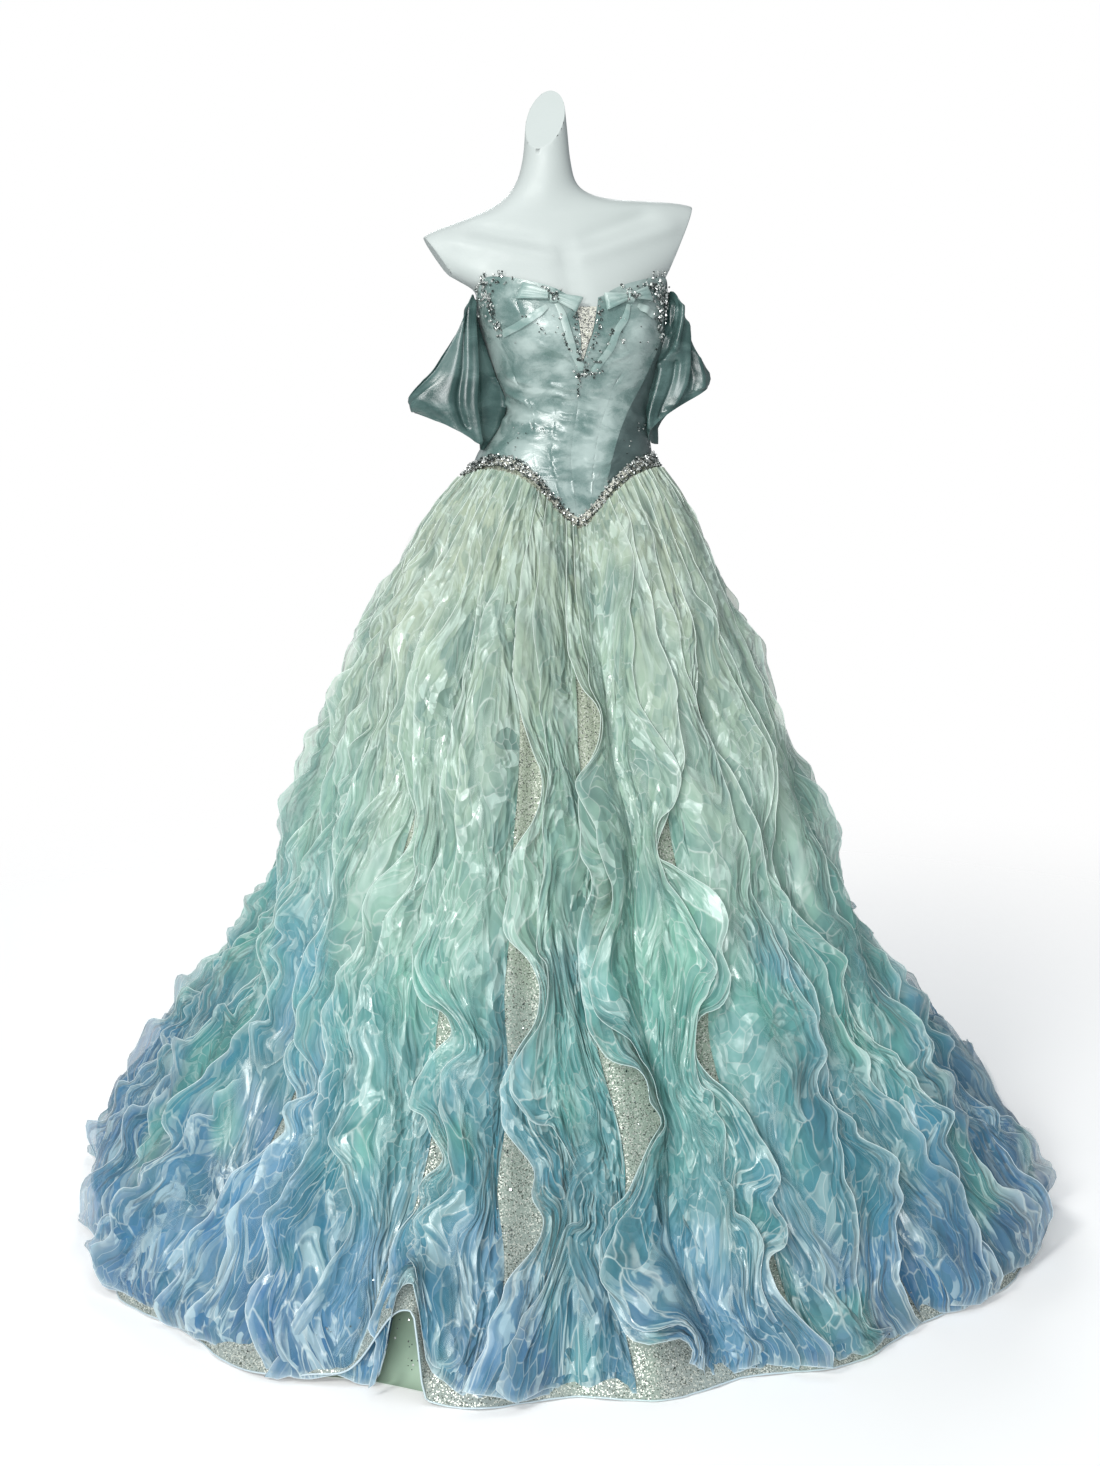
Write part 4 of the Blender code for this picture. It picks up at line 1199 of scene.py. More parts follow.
def build_form():
    rings = form_rings()
    levels = np.arange(len(rings))
    fine = np.linspace(0.0, len(rings) - 1, 4 * len(rings))
    surface = np.stack([
        np.stack([smooth(levels, rings[:, i, axis], fine) for axis in range(3)], axis=-1)
        for i in range(FORM_AROUND)
    ])
    ahead = ease(-surface[..., 1] / 0.02)
    surface[..., 1] -= placed_creases(COLLARBONES, surface[..., 0], surface[..., 2]) * ahead
    mesh = bpy.data.meshes.new("form_shell")
    faces = grid_faces(FORM_AROUND, len(fine), True).tolist()
    bottom = [i * len(fine) for i in range(FORM_AROUND)]
    faces.append(bottom)
    faces.append([first + len(fine) - 1 for first in bottom][::-1])
    mesh.from_pydata(surface.reshape(-1, 3).tolist(), [], faces)
    work = bmesh.new()
    work.from_mesh(mesh)
    bmesh.ops.recalc_face_normals(work, faces=work.faces)
    for face in work.faces:
        face.smooth = True
    for place, facing in FORM_CUTS:
        cut_flat(work, place, facing)
    bmesh.ops.recalc_face_normals(work, faces=work.faces)
    work.to_mesh(mesh)
    work.free()
    link("form_shell", mesh, [form_shell], ["form_torso"])
    print("form faces", len(mesh.polygons))


build_form()
for node in ("stand_pole", "stand_base"):
    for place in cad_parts[node].material_slots:
        place.material = steel


# %% [markdown]
# ## Bodice
#
# Eight satin panels are sewn edge to edge round the form. One surface with drawn seams would do
# for a picture, but each panel is a grid of its own between two seam curves, so that it is the
# piece the maker cut. The cloth dips into every seam, pulls into short puckers beside the centre
# front, and has a few soft folds, placed where the gown has them.

# %% Bodice sizes
PLUNGE_BOTTOM = 1.225
PLUNGE_TOP = 1.322
PLUNGE_ANGLE = 4.9
INSERT_TOP = 1.312
SEAM_HEIGHTS = (1.0, 1.06, 1.11, 1.165, 1.2, 1.26, 1.36)
SEAMS = {
    "princess": (5.5, 8.0, 12.0, 17.0, 21.0, 34.0, 42.0),
    "side_front": (13.0, 17.0, 25.0, 38.0, 48.0, 60.0, 66.0),
    "side_back": (100.0, 100.0, 101.0, 102.0, 102.0, 102.0, 103.0),
    "zip": (177.4, 177.4, 177.0, 176.6, 176.8, 177.2, 177.4),
}
SEAM_HALF_GAP = 0.00004
# degrees and height of start and end, half width, depth: folds of the satin
BODICE_FOLDS = (
    (-74.0, 1.192, -48.0, 1.176, 0.005, 0.0022), (-78.0, 1.174, -46.0, 1.16, 0.004, -0.0018),
    (-70.0, 1.152, -40.0, 1.148, 0.005, 0.0018), (-66.0, 1.134, -42.0, 1.13, 0.0045, -0.0014),
    (-64.0, 1.214, -44.0, 1.206, 0.005, 0.0016), (-30.0, 1.262, -12.0, 1.246, 0.004, 0.0014),
    (-26.0, 1.244, -11.0, 1.234, 0.0035, -0.0012), (-24.0, 1.204, -13.0, 1.2, 0.003, 0.0016),
    (-22.0, 1.19, -13.0, 1.188, 0.003, 0.0014), (-46.0, 1.322, -37.0, 1.296, 0.004, 0.0007),
    (-14.0, 1.262, -8.0, 1.246, 0.0024, 0.0012), (-13.0, 1.246, -8.0, 1.232, 0.0024, 0.0012),
    (9.0, 1.236, 20.0, 1.244, 0.0035, 0.0013), (14.0, 1.212, 30.0, 1.204, 0.006, 0.001),
    (14.0, 1.074, 22.0, 1.078, 0.003, 0.0014), (13.0, 1.092, 21.0, 1.098, 0.003, 0.0014),
    (-12.0, 1.062, 8.0, 1.06, 0.007, -0.002), (34.0, 1.16, 56.0, 1.15, 0.006, 0.0018),
    (36.0, 1.14, 60.0, 1.132, 0.005, -0.0014), (62.0, 1.176, 96.0, 1.168, 0.006, 0.002),
    (70.0, 1.15, 110.0, 1.146, 0.006, 0.0018), (-110.0, 1.168, -82.0, 1.176, 0.006, 0.002),
    (-116.0, 1.144, -82.0, 1.15, 0.006, 0.0018), (128.0, 1.182, 170.0, 1.17, 0.006, 0.0018),
    (134.0, 1.158, 172.0, 1.15, 0.0055, 0.0016), (-170.0, 1.176, -130.0, 1.166, 0.006, 0.0018),
    (-172.0, 1.146, -136.0, 1.152, 0.0055, 0.0016),
)
# degrees, height, half width in degrees, half height, share: painted highlights where the satin shines
SATIN_PAINTED_HIGHLIGHTS = (
    (-28.0, 1.284, 12.0, 0.011, 0.8), (-38.0, 1.262, 6.0, 0.008, 0.45), (27.0, 1.279, 8.0, 0.013, 0.7),
    (17.0, 1.256, 5.0, 0.02, 0.35), (-62.0, 1.206, 12.0, 0.007, 0.9), (-40.0, 1.196, 8.0, 0.004, 0.7),
    (-24.0, 1.194, 6.0, 0.004, 0.75), (-30.0, 1.17, 8.0, 0.004, 0.5), (-48.0, 1.154, 9.0, 0.006, 0.85),
    (-36.0, 1.128, 7.0, 0.004, 0.6), (-16.0, 1.242, 5.0, 0.022, 0.35), (-30.0, 1.108, 8.0, 0.01, 0.4),
    (10.0, 1.15, 6.0, 0.055, 0.5), (4.0, 1.092, 8.0, 0.022, 0.4), (150.0, 1.22, 14.0, 0.03, 0.4),
    (-150.0, 1.2, 14.0, 0.03, 0.4), (-96.0, 1.2, 9.0, 0.04, 0.4),
)
# radius that turns degrees round the bodice into metres
ARM_OF_BODY = 0.108
FOLD_STRENGTH = 1.7
PUCKER_HEIGHT = 0.0026
PUCKER_PITCH = 0.0138
SATIN_THICKNESS = 0.0012
PANEL_ROWS = 150
# name and columns of the panels from the centre front to the centre back
PANELS = (("front", 16), ("side_front", 16), ("side", 34), ("back", 40))


# %% Seams and relief of the satin
def swing(height):
    return follow(TWIST, height)


def seam(name, sign):
    swings = 1.0 if name in ("princess", "side_front") else 0.0

    def run(height):
        return sign * smooth(SEAM_HEIGHTS, SEAMS[name], height) + swing(height) * swings
    return run


def centre_front(sign):
    def run(height):
        risen = (height - PLUNGE_BOTTOM) / (PLUNGE_TOP - PLUNGE_BOTTOM)
        return sign * PLUNGE_ANGLE * np.clip(risen, 0.0, 1.0) + swing(height)
    return run


def puckers(degrees, height):
    """Where the centre seam pulls the satin into short level puckers, and their phase."""
    beside = wrapped(degrees - swing(height))
    left = bell((beside + 6.5) / 5.5, 4.0) * (0.75 + 0.25 * np.sin(height * 310.0))
    right = 0.5 * bell((beside - 9.5) / 3.4, 4.0)
    reach = ease((height - 1.06) / 0.02) * ease((1.215 - height) / 0.02)
    uneven = height + 0.0022 * np.sin(190.0 * height) + 0.0016 * np.sin(0.35 * degrees)
    return (left + right) * reach, 2.0 * np.pi * uneven / PUCKER_PITCH


def satin_relief(degrees, height):
    """How far the satin stands out from its smooth cut."""
    u = np.radians(degrees) * ARM_OF_BODY
    rows = [
        (math.radians(a) * ARM_OF_BODY, z0, math.radians(b) * ARM_OF_BODY, z1, half, depth)
        for a, z0, b, z1, half, depth in BODICE_FOLDS
    ]
    folds = placed_creases(rows, u, height)
    where, phase = puckers(degrees, height)
    pulled = PUCKER_HEIGHT * where * (0.5 + 0.5 * np.cos(phase)) ** 1.4
    ripple = 0.0007 * crush(u, height, 0.05, 11, lean=1.2)
    return FOLD_STRENGTH * folds + pulled + ripple


def painted_satin_highlights(degrees, height):
    """Painted highlight: how much paler the satin is painted where it shines and on the lit flank of
    each pucker.
    """
    total = np.zeros(degrees.shape)
    for middle, high, wide, tall, share in SATIN_PAINTED_HIGHLIGHTS:
        away = (np.abs(wrapped(degrees - middle)) / wide) ** 2.6 + (np.abs(height - high) / tall) ** 2.6
        total = total + share * np.exp(-away)
    where, phase = puckers(degrees, height)
    # painted highlight on the lit flank of each pucker
    return total + 0.65 * where * np.maximum(np.cos(phase + 0.6), 0.0) ** 1.5


# %% Bodice panels
def panel_grid(first, second, steps, rows, low_gap=0.001):
    """Degrees and height between two seams, from the neckline down to the waist."""
    share = np.linspace(0.0, 1.0, steps + 1)[:, None]
    drop = np.linspace(0.0, 1.0, rows + 1)[None, :]
    height = np.broadcast_to(1.35 - 0.3 * drop, (steps + 1, rows + 1))
    # the seams lean, so the ends of a column are found by going halfway again and again
    for _ in range(40):
        degrees = first(height) + (second(height) - first(height)) * share
        goal = neck_edge(degrees) * (1.0 - drop) + (waist_edge(degrees) + low_gap) * drop
        height = 0.5 * height + 0.5 * goal
    return degrees, height, share, drop


def build_panel(name, first, second, steps, finish):
    shift = np.degrees(SEAM_HALF_GAP / 0.11)
    degrees, height, share, drop = panel_grid(
        lambda h: first(h) + shift, lambda h: second(h) - shift, steps, PANEL_ROWS
    )
    width = np.radians(np.abs(second(height) - first(height))) * ARM_OF_BODY
    to_seam = np.minimum(share, 1.0 - share) * width
    dip = -0.00012 * bell(to_seam / 0.0009)
    hold = ease(drop / 0.04) * ease((1.0 - drop) / 0.03)
    out = BODICE_WALL + (satin_relief(degrees, height) * ease(to_seam / 0.0016) + dip) * hold
    rolled = 0.0008 * bell(drop / 0.012)
    grid = body_point(degrees, height, np.maximum(out + rolled, BODICE_WALL - SATIN_THICKNESS))
    piece = cloth(
        name, grid, finish, [name.replace("satin", "bodice")],
        tint=painted_satin_highlights(degrees, height), wall=SATIN_THICKNESS,
    )
    declare(grid)


def build_bodice():
    for side, sign in (("right", 1.0), ("left", -1.0)):
        edges = [centre_front(sign)] + [seam(name, sign) for name in SEAMS]
        for (name, steps), first, second in zip(PANELS, edges, edges[1:]):
            low, high = (first, second) if sign > 0 else (second, first)
            # painted shade: only the right side panel gets the darker copy of the satin, for the side
            # away from the key lamp
            dark = name == "side" and side == "right"
            build_panel(
                f"satin_{name}_{side}", low, high, steps,
                satin_in_painted_shade if dark else satin,
            )
    print("bodice panels", 2 * len(PANELS))


build_bodice()


# %% [markdown]
# ## Plunge insert and zip
#
# A narrow triangle of sheer mesh closes the plunge, and the back closes with a zip. The mesh is one
# small grid with a fine ruck. A picture of teeth would look flat, so they are little bevelled
# blocks, left and right in turn, in one mesh with the slider and its pull.

# %% Insert and zip sizes
INSERT_STEPS = 13
INSERT_ROWS = 40
# degrees that a gap of 0.4 mm takes at the plunge, and one of 0.3 mm at the back
INSERT_GAP = np.degrees(0.0004 / 0.1)
ZIP_GAP = np.degrees(0.0003 / 0.11)
ZIP_ROWS = 90
TOOTH_PITCH = 0.0016
TOOTH_ASIDE = math.degrees(0.00085 / 0.088)
TOOTH_HALF = (0.0013, 0.0008, 0.00055)
# height over the top tooth, distance out, half sizes: the slider and its pull
SLIDER = ((0.004, 0.0034, (0.0032, 0.0014, 0.005)), (-0.01, 0.0042, (0.002, 0.0006, 0.008)))
BLOCK_BEVEL = 0.72


# %% Plunge insert and zip
def build_insert():
    share = np.linspace(0.0, 1.0, INSERT_STEPS)[:, None]
    levels = np.linspace(INSERT_TOP, PLUNGE_BOTTOM + 0.012, INSERT_ROWS)
    height = np.broadcast_to(levels[None, :], (INSERT_STEPS, INSERT_ROWS))
    first = centre_front(-1.0)(height) + INSERT_GAP
    second = centre_front(1.0)(height) - INSERT_GAP
    degrees = first + (second - first) * share
    ruck = 0.0003 * np.sin(height * 420.0 + 6.0 * share)
    grid = body_point(degrees, height, 0.0012 + ruck)
    piece = cloth("mesh_insert", grid, nude_mesh, ["plunge_insert"])
    declare(grid)


def block(centre, half):
    """Small bevelled block: points and faces."""
    points = []
    for z, scale in ((-1.0, BLOCK_BEVEL), (-BLOCK_BEVEL, 1.0), (BLOCK_BEVEL, 1.0), (1.0, BLOCK_BEVEL)):
        for x, y in ((-1, -1), (1, -1), (1, 1), (-1, 1)):
            points.append(tuple(c + h * s for c, h, s in zip(centre, half, (x * scale, y * scale, z))))
    faces = [(3, 2, 1, 0), (12, 13, 14, 15)]
    for level in range(3):
        for i in range(4):
            a = level * 4 + i
            b = level * 4 + (i + 1) % 4
            faces.append((a, b, b + 4, a + 4))
    return points, faces


def build_zip():
    first = seam("zip", 1.0)
    second = seam("zip", -1.0)
    degrees, height, share, _ = panel_grid(
        lambda h: first(h) + ZIP_GAP, lambda h: 360.0 + second(h) - ZIP_GAP, 10, ZIP_ROWS
    )
    ridge = 0.0007 * bell((share - 0.5) / 0.16)
    grid = body_point(degrees, height, 0.0012 + ridge)
    tape = cloth("zip_tape", grid, satin, ["back_zip"], wall=0.0008)
    top = float(neck_edge(180.0)) - 0.012
    low = float(waist_edge(180.0)) + 0.006
    teeth = []
    for number in range(int((top - low) / TOOTH_PITCH)):
        aside = TOOTH_ASIDE if number % 2 else -TOOTH_ASIDE
        at = body_point(180.0 + aside, top - number * TOOTH_PITCH, 0.0021)
        teeth.append(block(at, TOOTH_HALF))
    print("zip teeth", len(teeth))
    for rise, out, half in SLIDER:
        teeth.append(block(body_point(180.0, top + rise, out), half))
    works = joined("zip_teeth", teeth, steel)
    declare(grid)


build_insert()
build_zip()


# %% [markdown]
# ## Sleeves
#
# The off-shoulder sleeves are empty tubes of the same satin, darker because they hang in their
# own shade. A cloth simulation would drop them, as there is no arm inside, so each one is a tube
# between two curved edges. It is pinned at the top corners, so the folds run down from there and
# end in U-shaped dips, and the lower hem is rolled.

# %% Sleeve sizes
SLEEVE_STEPS = 120
SLEEVE_ROWS = 76
SLEEVE_WALL = 0.00132
# height, then how far out from the centre the inner and the outer side of the sleeve are
SLEEVE_SIDES = {
    "right": (
        (1.1, 0.141, 0.165), (1.15, 0.139, 0.196), (1.205, 0.143, 0.222), (1.24, 0.151, 0.212),
        (1.27, 0.156, 0.201), (1.3, 0.157, 0.192), (1.345, 0.15, 0.174),
    ),
    "left": (
        (1.1, 0.122, 0.15), (1.145, 0.12, 0.205), (1.172, 0.12, 0.23), (1.226, 0.123, 0.206),
        (1.262, 0.127, 0.19), (1.3, 0.131, 0.172), (1.345, 0.129, 0.154),
    ),
}
# heights of the top edge inside and outside, then of the lower edge inside and outside
SLEEVE_EDGES = {"right": (1.302, 1.222, 1.114, 1.198), "left": (1.298, 1.182, 1.108, 1.162)}
SLEEVE_PEAK = 0.052
SLEEVE_FRONT = {"right": -0.024, "left": -0.008}
SLEEVE_PLEAT = {"right": 0.004, "left": 0.0006}
# depth, height and spread: the tuck beside the waist, and how the sleeve hugs the bodice
SLEEVE_TUCK = {"right": (0.04, 1.145, 0.055), "left": (0.042, 1.172, 0.042)}
SLEEVE_HUG = {"right": (0.04, 1.23, 0.078), "left": (0.075, 1.19, 0.085)}
SLEEVE_TRIM = 0.01
# turn and drop of start and end, half width, height; a quarter turn is the front of the sleeve
SLEEVE_FOLDS = {
    "right": (
        (0.08, 0.05, 0.11, 0.42, 0.014, 0.01), (0.11, 0.42, 0.15, 0.52, 0.014, 0.009),
        (0.15, 0.52, 0.2, 0.4, 0.014, 0.009), (0.2, 0.4, 0.23, 0.04, 0.014, 0.011),
        (0.15, 0.1, 0.15, 0.4, 0.018, -0.01), (0.155, 0.56, 0.17, 0.97, 0.014, 0.011),
        (0.125, 0.12, 0.15, 0.3, 0.01, 0.005), (0.15, 0.3, 0.185, 0.12, 0.01, 0.005),
        (0.21, 0.52, 0.23, 0.95, 0.016, -0.008), (0.28, 0.1, 0.27, 0.9, 0.018, 0.008),
        (0.33, 0.15, 0.33, 0.85, 0.018, -0.006), (0.39, 0.12, 0.38, 0.85, 0.02, 0.005),
        (0.05, 0.4, 0.06, 0.97, 0.016, -0.006), (0.1, 0.62, 0.13, 0.8, 0.014, 0.005),
        (0.62, 0.1, 0.58, 0.9, 0.026, 0.006), (0.72, 0.05, 0.7, 0.8, 0.022, -0.006),
        (0.82, 0.1, 0.84, 0.9, 0.026, 0.006), (0.92, 0.2, 0.9, 0.95, 0.02, -0.005),
    ),
    "left": (
        (0.115, 0.05, 0.125, 0.97, 0.02, 0.015), (0.2, 0.08, 0.2, 0.9, 0.024, -0.008),
        (0.03, 0.45, 0.02, 0.97, 0.014, 0.006), (0.42, 0.5, 0.46, 0.8, 0.05, 0.004),
        (0.62, 0.15, 0.6, 0.85, 0.026, 0.006), (0.72, 0.08, 0.69, 0.75, 0.022, -0.006),
        (0.82, 0.1, 0.84, 0.9, 0.026, 0.006), (0.92, 0.2, 0.9, 0.95, 0.02, -0.005),
    ),
}
CRUSH_SEED = {"right": 5, "left": 6}
# least distance between the left sleeve and the bodice
SLEEVE_ROOM = 0.0025


# %% Sleeves
def off_body(grid):
    """Push points that come too near the bodice straight out from its axis."""
    goal = np.degrees(np.arctan2(grid[..., 0], -grid[..., 1]))
    degrees = goal
    for _ in range(12):
        near = body_point(degrees, grid[..., 2], BODICE_WALL + SLEEVE_ROOM)
        degrees = degrees + wrapped(goal - np.degrees(np.arctan2(near[..., 0], -near[..., 1])))
    reach = np.hypot(near[..., 0], near[..., 1])
    grid[..., :2] *= np.maximum(reach / np.hypot(grid[..., 0], grid[..., 1]), 1.0)[..., None]
    return grid


def sleeve_tube(side, sign, turns, drop):
    """The smooth sleeve, before its folds."""
    outward = (1.0 - np.cos(turns)) / 2.0
    ahead = np.sin(turns)
    top_in, top_out, low_in, low_out = SLEEVE_EDGES[side]
    lift = SLEEVE_PEAK * np.clip(ahead, 0.0, 1.0) * (1.0 - outward)
    top = top_in + (top_out - top_in) * outward**2.4 + lift
    low = low_in + (low_out - low_in) * outward
    z = top + (low - top) * drop
    heights, inner, outer = (column(SLEEVE_SIDES[side], index) for index in range(3))
    inner_x = smooth(heights, inner, z)
    reach = smooth(heights, outer, z) - inner_x
    wave = np.cos(4.0 * turns + 1.2 * drop + 0.5)
    pleat = SLEEVE_PLEAT[side] * wave * np.sin(np.pi * (0.15 + 0.7 * drop))
    depth, height, spread = SLEEVE_TUCK[side]
    waist = bell((z - height) / spread)
    tuck = depth * waist * np.clip(sign * ahead, 0.0, 1.0) * (1.0 - outward)
    depth, height, spread = SLEEVE_HUG[side]
    hug = depth * bell((z - height) / spread)
    # the right sleeve hugs the bodice with its front, the left one with its back
    where = np.clip(ahead, 0.0, 1.0) ** 0.8 if sign > 0 else 0.05 + 0.95 * ease((0.3 - ahead) / 0.35)
    tuck = tuck + hug * where * (1.0 - outward) ** 2
    x = inner_x - tuck + (reach - SLEEVE_TRIM + pleat) * outward + 0.35 * pleat
    y = SLEEVE_FRONT[side] - (0.04 + 1.4 * pleat - 0.008 * outward) * ahead
    return stack(sign * x, y, z), outward


def build_sleeve(side, sign):
    share = np.linspace(0.0, 1.0, SLEEVE_STEPS, endpoint=False)[:, None]
    drop = np.linspace(0.0, 1.0, SLEEVE_ROWS + 1)[None, :]
    grid, outward = sleeve_tube(side, sign, share * 2.0 * np.pi, drop)
    if sign < 0:
        # a mirrored tube is turned round, so that its outer face stays outside
        grid = grid[::-1]
        share = share[::-1]
    normal = grid_normals(grid, True)
    if np.sum((grid - grid.mean(axis=(0, 1))) * normal) < 0.0:
        normal = -normal
    relief = placed_creases(SLEEVE_FOLDS[side], share, drop)
    relief = relief + 0.0008 * crush(share * 0.3, drop * 0.16, 0.035, CRUSH_SEED[side])
    hem = bell((1.0 - drop) / 0.03) + bell(drop / 0.03)
    room = ease(outward * 2.2 + 0.15)
    grid = grid + normal * (relief * room + 0.0006 * hem)[..., None]
    if sign < 0:
        grid = off_body(grid)
    made = cloth(
        f"satin_sleeve_{side}", grid, satin_sleeve, [f"sleeve_{side}"],
        wrap=True, wall=SLEEVE_WALL,
    )
    declare(grid, wrap=True)
    print("sleeve", side, "points", grid.shape[0] * grid.shape[1])


build_sleeve("right", 1.0)
build_sleeve("left", -1.0)


# %% [markdown]
# ## Ribbon bows
#
# Two small bows of satin ribbon sit on the neckline. Every loop is a strip folded back on itself,
# so it is two layers thick with a crisp end, and it is gathered where it goes into the knot. The
# tails are flat ribbons that lie on the cups and lift a little from them. A curve with a bevel
# would be quicker, but it could not lie on the cups or gather towards the knot.

# %% Bow sizes
KNOTS = {"left": (-0.0345, 1.3245), "right": (0.0745, 1.3245)}
# bow, name, end x, end z, half width, slant of the end
LOOPS = (
    ("left", "outer", -0.0765, 1.3325, 0.0112, 0.22),
    ("left", "inner", 0.001, 1.3135, 0.0108, 0.22),
    ("right", "inner", 0.0385, 1.3175, 0.0112, 0.05),
    ("right", "outer", 0.1045, 1.3285, 0.0102, -0.2),
)
# bow, name, then points down the tail as x, z
TAILS = (
    ("left", "outer", ((-0.043, 1.312), (-0.066, 1.295), (-0.0945, 1.2755))),
    ("left", "inner", (
        (-0.0303, 1.316), (-0.0228, 1.3), (-0.015, 1.2745), (-0.0045, 1.249), (0.0095, 1.225),
    )),
    ("right", "outer", ((0.085, 1.313), (0.098, 1.306), (0.113, 1.2975))),
    ("right", "inner", (
        (0.0715, 1.314), (0.0655, 1.2955), (0.0535, 1.278),
        (0.0455, 1.256), (0.033, 1.237), (0.0235, 1.222),
    )),
)
RIBBON_THICKNESS = 0.0006
TAIL_HALF_WIDTH = 0.005
TAIL_SLANT = 0.5
LOOP_BEND = 0.0022
LOOP_LIFT = 0.0016
KNOT_REACH = 0.0065
KNOT_HEIGHT = 0.0072
KNOT_HALF_LENGTH = 0.0075
KNOT_HALF_WIDTH = 0.0046


# %% Bows
def front_place(x, z, lift):
    """Point of the bodice front at an x and z, lifted off the panels."""
    degrees = np.zeros(np.broadcast(x, z).shape)
    for _ in range(60):
        degrees = degrees + (x - body_plain(degrees, z)[..., 0]) * 300.0
    return body_point(degrees, z, BODICE_WALL + lift)


def ribbon(name, x, z, lifts, half_width, across, bulge, gathers):
    """Ribbon along x and z, with its width along across; gathers are small pleats along it."""
    across = np.broadcast_to(np.asarray(across, float), (len(x), 2))
    sides = []
    for share in np.linspace(-1.0, 1.0, 13):
        lift = lifts + bulge * (1.0 - share**2) + gathers * np.cos(2.6 * np.pi * share)
        sides.append(front_place(
            x + across[:, 0] * half_width * share, z + across[:, 1] * half_width * share, lift,
        ))
    grid = np.stack(sides)
    piece = cloth(
        f"ribbon_{name}", grid, satin_ribbon, [f"bow_{name}"], wall=RIBBON_THICKNESS,
    )
    declare(grid)


def build_knot(bow):
    x, z = KNOTS[bow]
    steps = np.linspace(-1.0, 1.0, 17)
    lifts = LOOP_LIFT + KNOT_HEIGHT * np.sqrt(np.maximum(1.0 - steps**2, 0.0))
    ribbon(
        f"{bow}_knot", x + 0.0 * steps, z + KNOT_HALF_LENGTH * steps, lifts, KNOT_HALF_WIDTH,
        (1.0, 0.0), 0.0008, 0.0004,
    )


def build_loop(bow, name, end_x, end_z, half, slant):
    x, z = KNOTS[bow]
    along = unit(np.array([end_x - x, end_z - z]))
    across = np.array([-along[1], along[0]])
    start = np.array([x, z]) + along * KNOT_REACH
    length = np.linalg.norm(np.array([end_x, end_z]) - start)
    # out along the under layer, round the bend, and back along the upper layer
    out = np.linspace(0.0, 1.0, 16)
    back = out[::-1]
    bend = np.radians(np.linspace(-90.0, 90.0, 11))[1:-1]
    straight = length - LOOP_BEND
    reach = np.concatenate([out * straight, straight + LOOP_BEND * np.cos(bend), back * straight])
    lifts = np.concatenate([
        LOOP_LIFT + 0.0 * out, LOOP_LIFT + LOOP_BEND * (1.0 + np.sin(bend)),
        LOOP_LIFT + 2.0 * LOOP_BEND + 0.0012 * np.sin(np.pi * back) * back,
    ])
    upper = np.concatenate([0.0 * out, 0.0 * bend, 1.0 + 0.0 * out])
    share = reach / length
    widths = half * (0.4 + 0.6 * share**0.9)
    gathers = 0.0015 * (1.0 - share) ** 0.6 * upper
    lean = slant * share * widths
    path = start + along * reach[:, None]
    ways = across + along * (lean / np.maximum(widths, 1e-6))[:, None]
    ribbon(f"{bow}_loop_{name}", path[:, 0], path[:, 1], lifts, widths, ways, 0.0014 * upper, gathers)


def build_tail(bow, name, rows):
    at = np.linspace(0.0, 1.0, len(rows))
    share = np.linspace(0.0, 1.0, 41)
    x = smooth(at, column(rows, 0), share)
    z = smooth(at, column(rows, 1), share)
    along = unit(np.stack([np.gradient(x), np.gradient(z)], axis=-1))
    across = np.stack([-along[:, 1], along[:, 0]], axis=-1)
    across = across + along * TAIL_SLANT * share[:, None] ** 8
    lifts = 0.0018 + 0.0022 * np.sin(np.pi * share) ** 2 + 0.0007 * np.sin(15.0 * share + 9.0 * x[0])
    widths = TAIL_HALF_WIDTH * (0.62 + 0.38 * ease(share / 0.25))
    ribbon(f"{bow}_tail_{name}", x, z, lifts, widths, across, 0.0005, 0.0)


def build_bows():
    for bow in KNOTS:
        build_knot(bow)
    for row in LOOPS:
        build_loop(*row)
    for row in TAILS:
        build_tail(*row)
    print("ribbon pieces", len(KNOTS) + len(LOOPS) + len(TAILS))


build_bows()


# %% [markdown]
# ## Skirt base
#
# Eight gores, each one layer of glitter tulle over a lining, carry the organza. They show in the
# slits between the strips and at the hem, so they get soft folds and loose sequins. At the front
# left the hem is drawn up into a pointed opening. The gores could be dressed by hand, but the hem,
# the opening and the scallops are formulas here, so that the organza can follow them exactly.

# %% Hem and opening
STRIP_END = 0.992
OPENING_ANGLE = -26.6
OPENING_WIDTH = 2.2
# times the width, and how square the flank is: the opening leans over to its left
OPENING_LEFT = (2.155, 2.3)
OPENING_RIGHT = (0.472, 3.0)
OPENING_LIFT = 0.108
FLOOR_CLEARANCE = 0.0022
SCALLOP_DEGREES = 15.0


def wander(x, seed):
    """Smooth uneven wave of about 1 in height and 1 in length."""
    rng = np.random.default_rng(seed)
    total = 0.0
    for stretch, size in ((0.57, 0.35), (0.83, 0.6), (1.0, 0.75), (1.37, 0.65), (2.1, 0.5)):
        total = total + size * np.sin(2.0 * np.pi * (x / stretch + rng.random()))
    return total / 1.5


def opening_lift(degrees, down):
    """The hem is drawn up into a narrow pointed opening at the front left."""
    aside = wrapped(degrees - OPENING_ANGLE)
    wide, square = (np.where(aside < 0.0, *pair) for pair in zip(OPENING_LEFT, OPENING_RIGHT))
    near = np.exp(-np.abs(aside / (OPENING_WIDTH * wide)) ** square)
    return OPENING_LIFT * near * ease((down - 0.84) / 0.16) ** 1.2 - 0.8 * solid_lift(degrees, down)


def dress_point(degrees, down, out):
    """Point of the dressed skirt at a distance out from the gores."""
    point = skirt_point(degrees, down) + skirt_out(degrees, down) * np.asarray(out)[..., None]
    point[..., 2] = np.maximum(point[..., 2] + opening_lift(degrees, down), FLOOR_CLEARANCE)
    return point


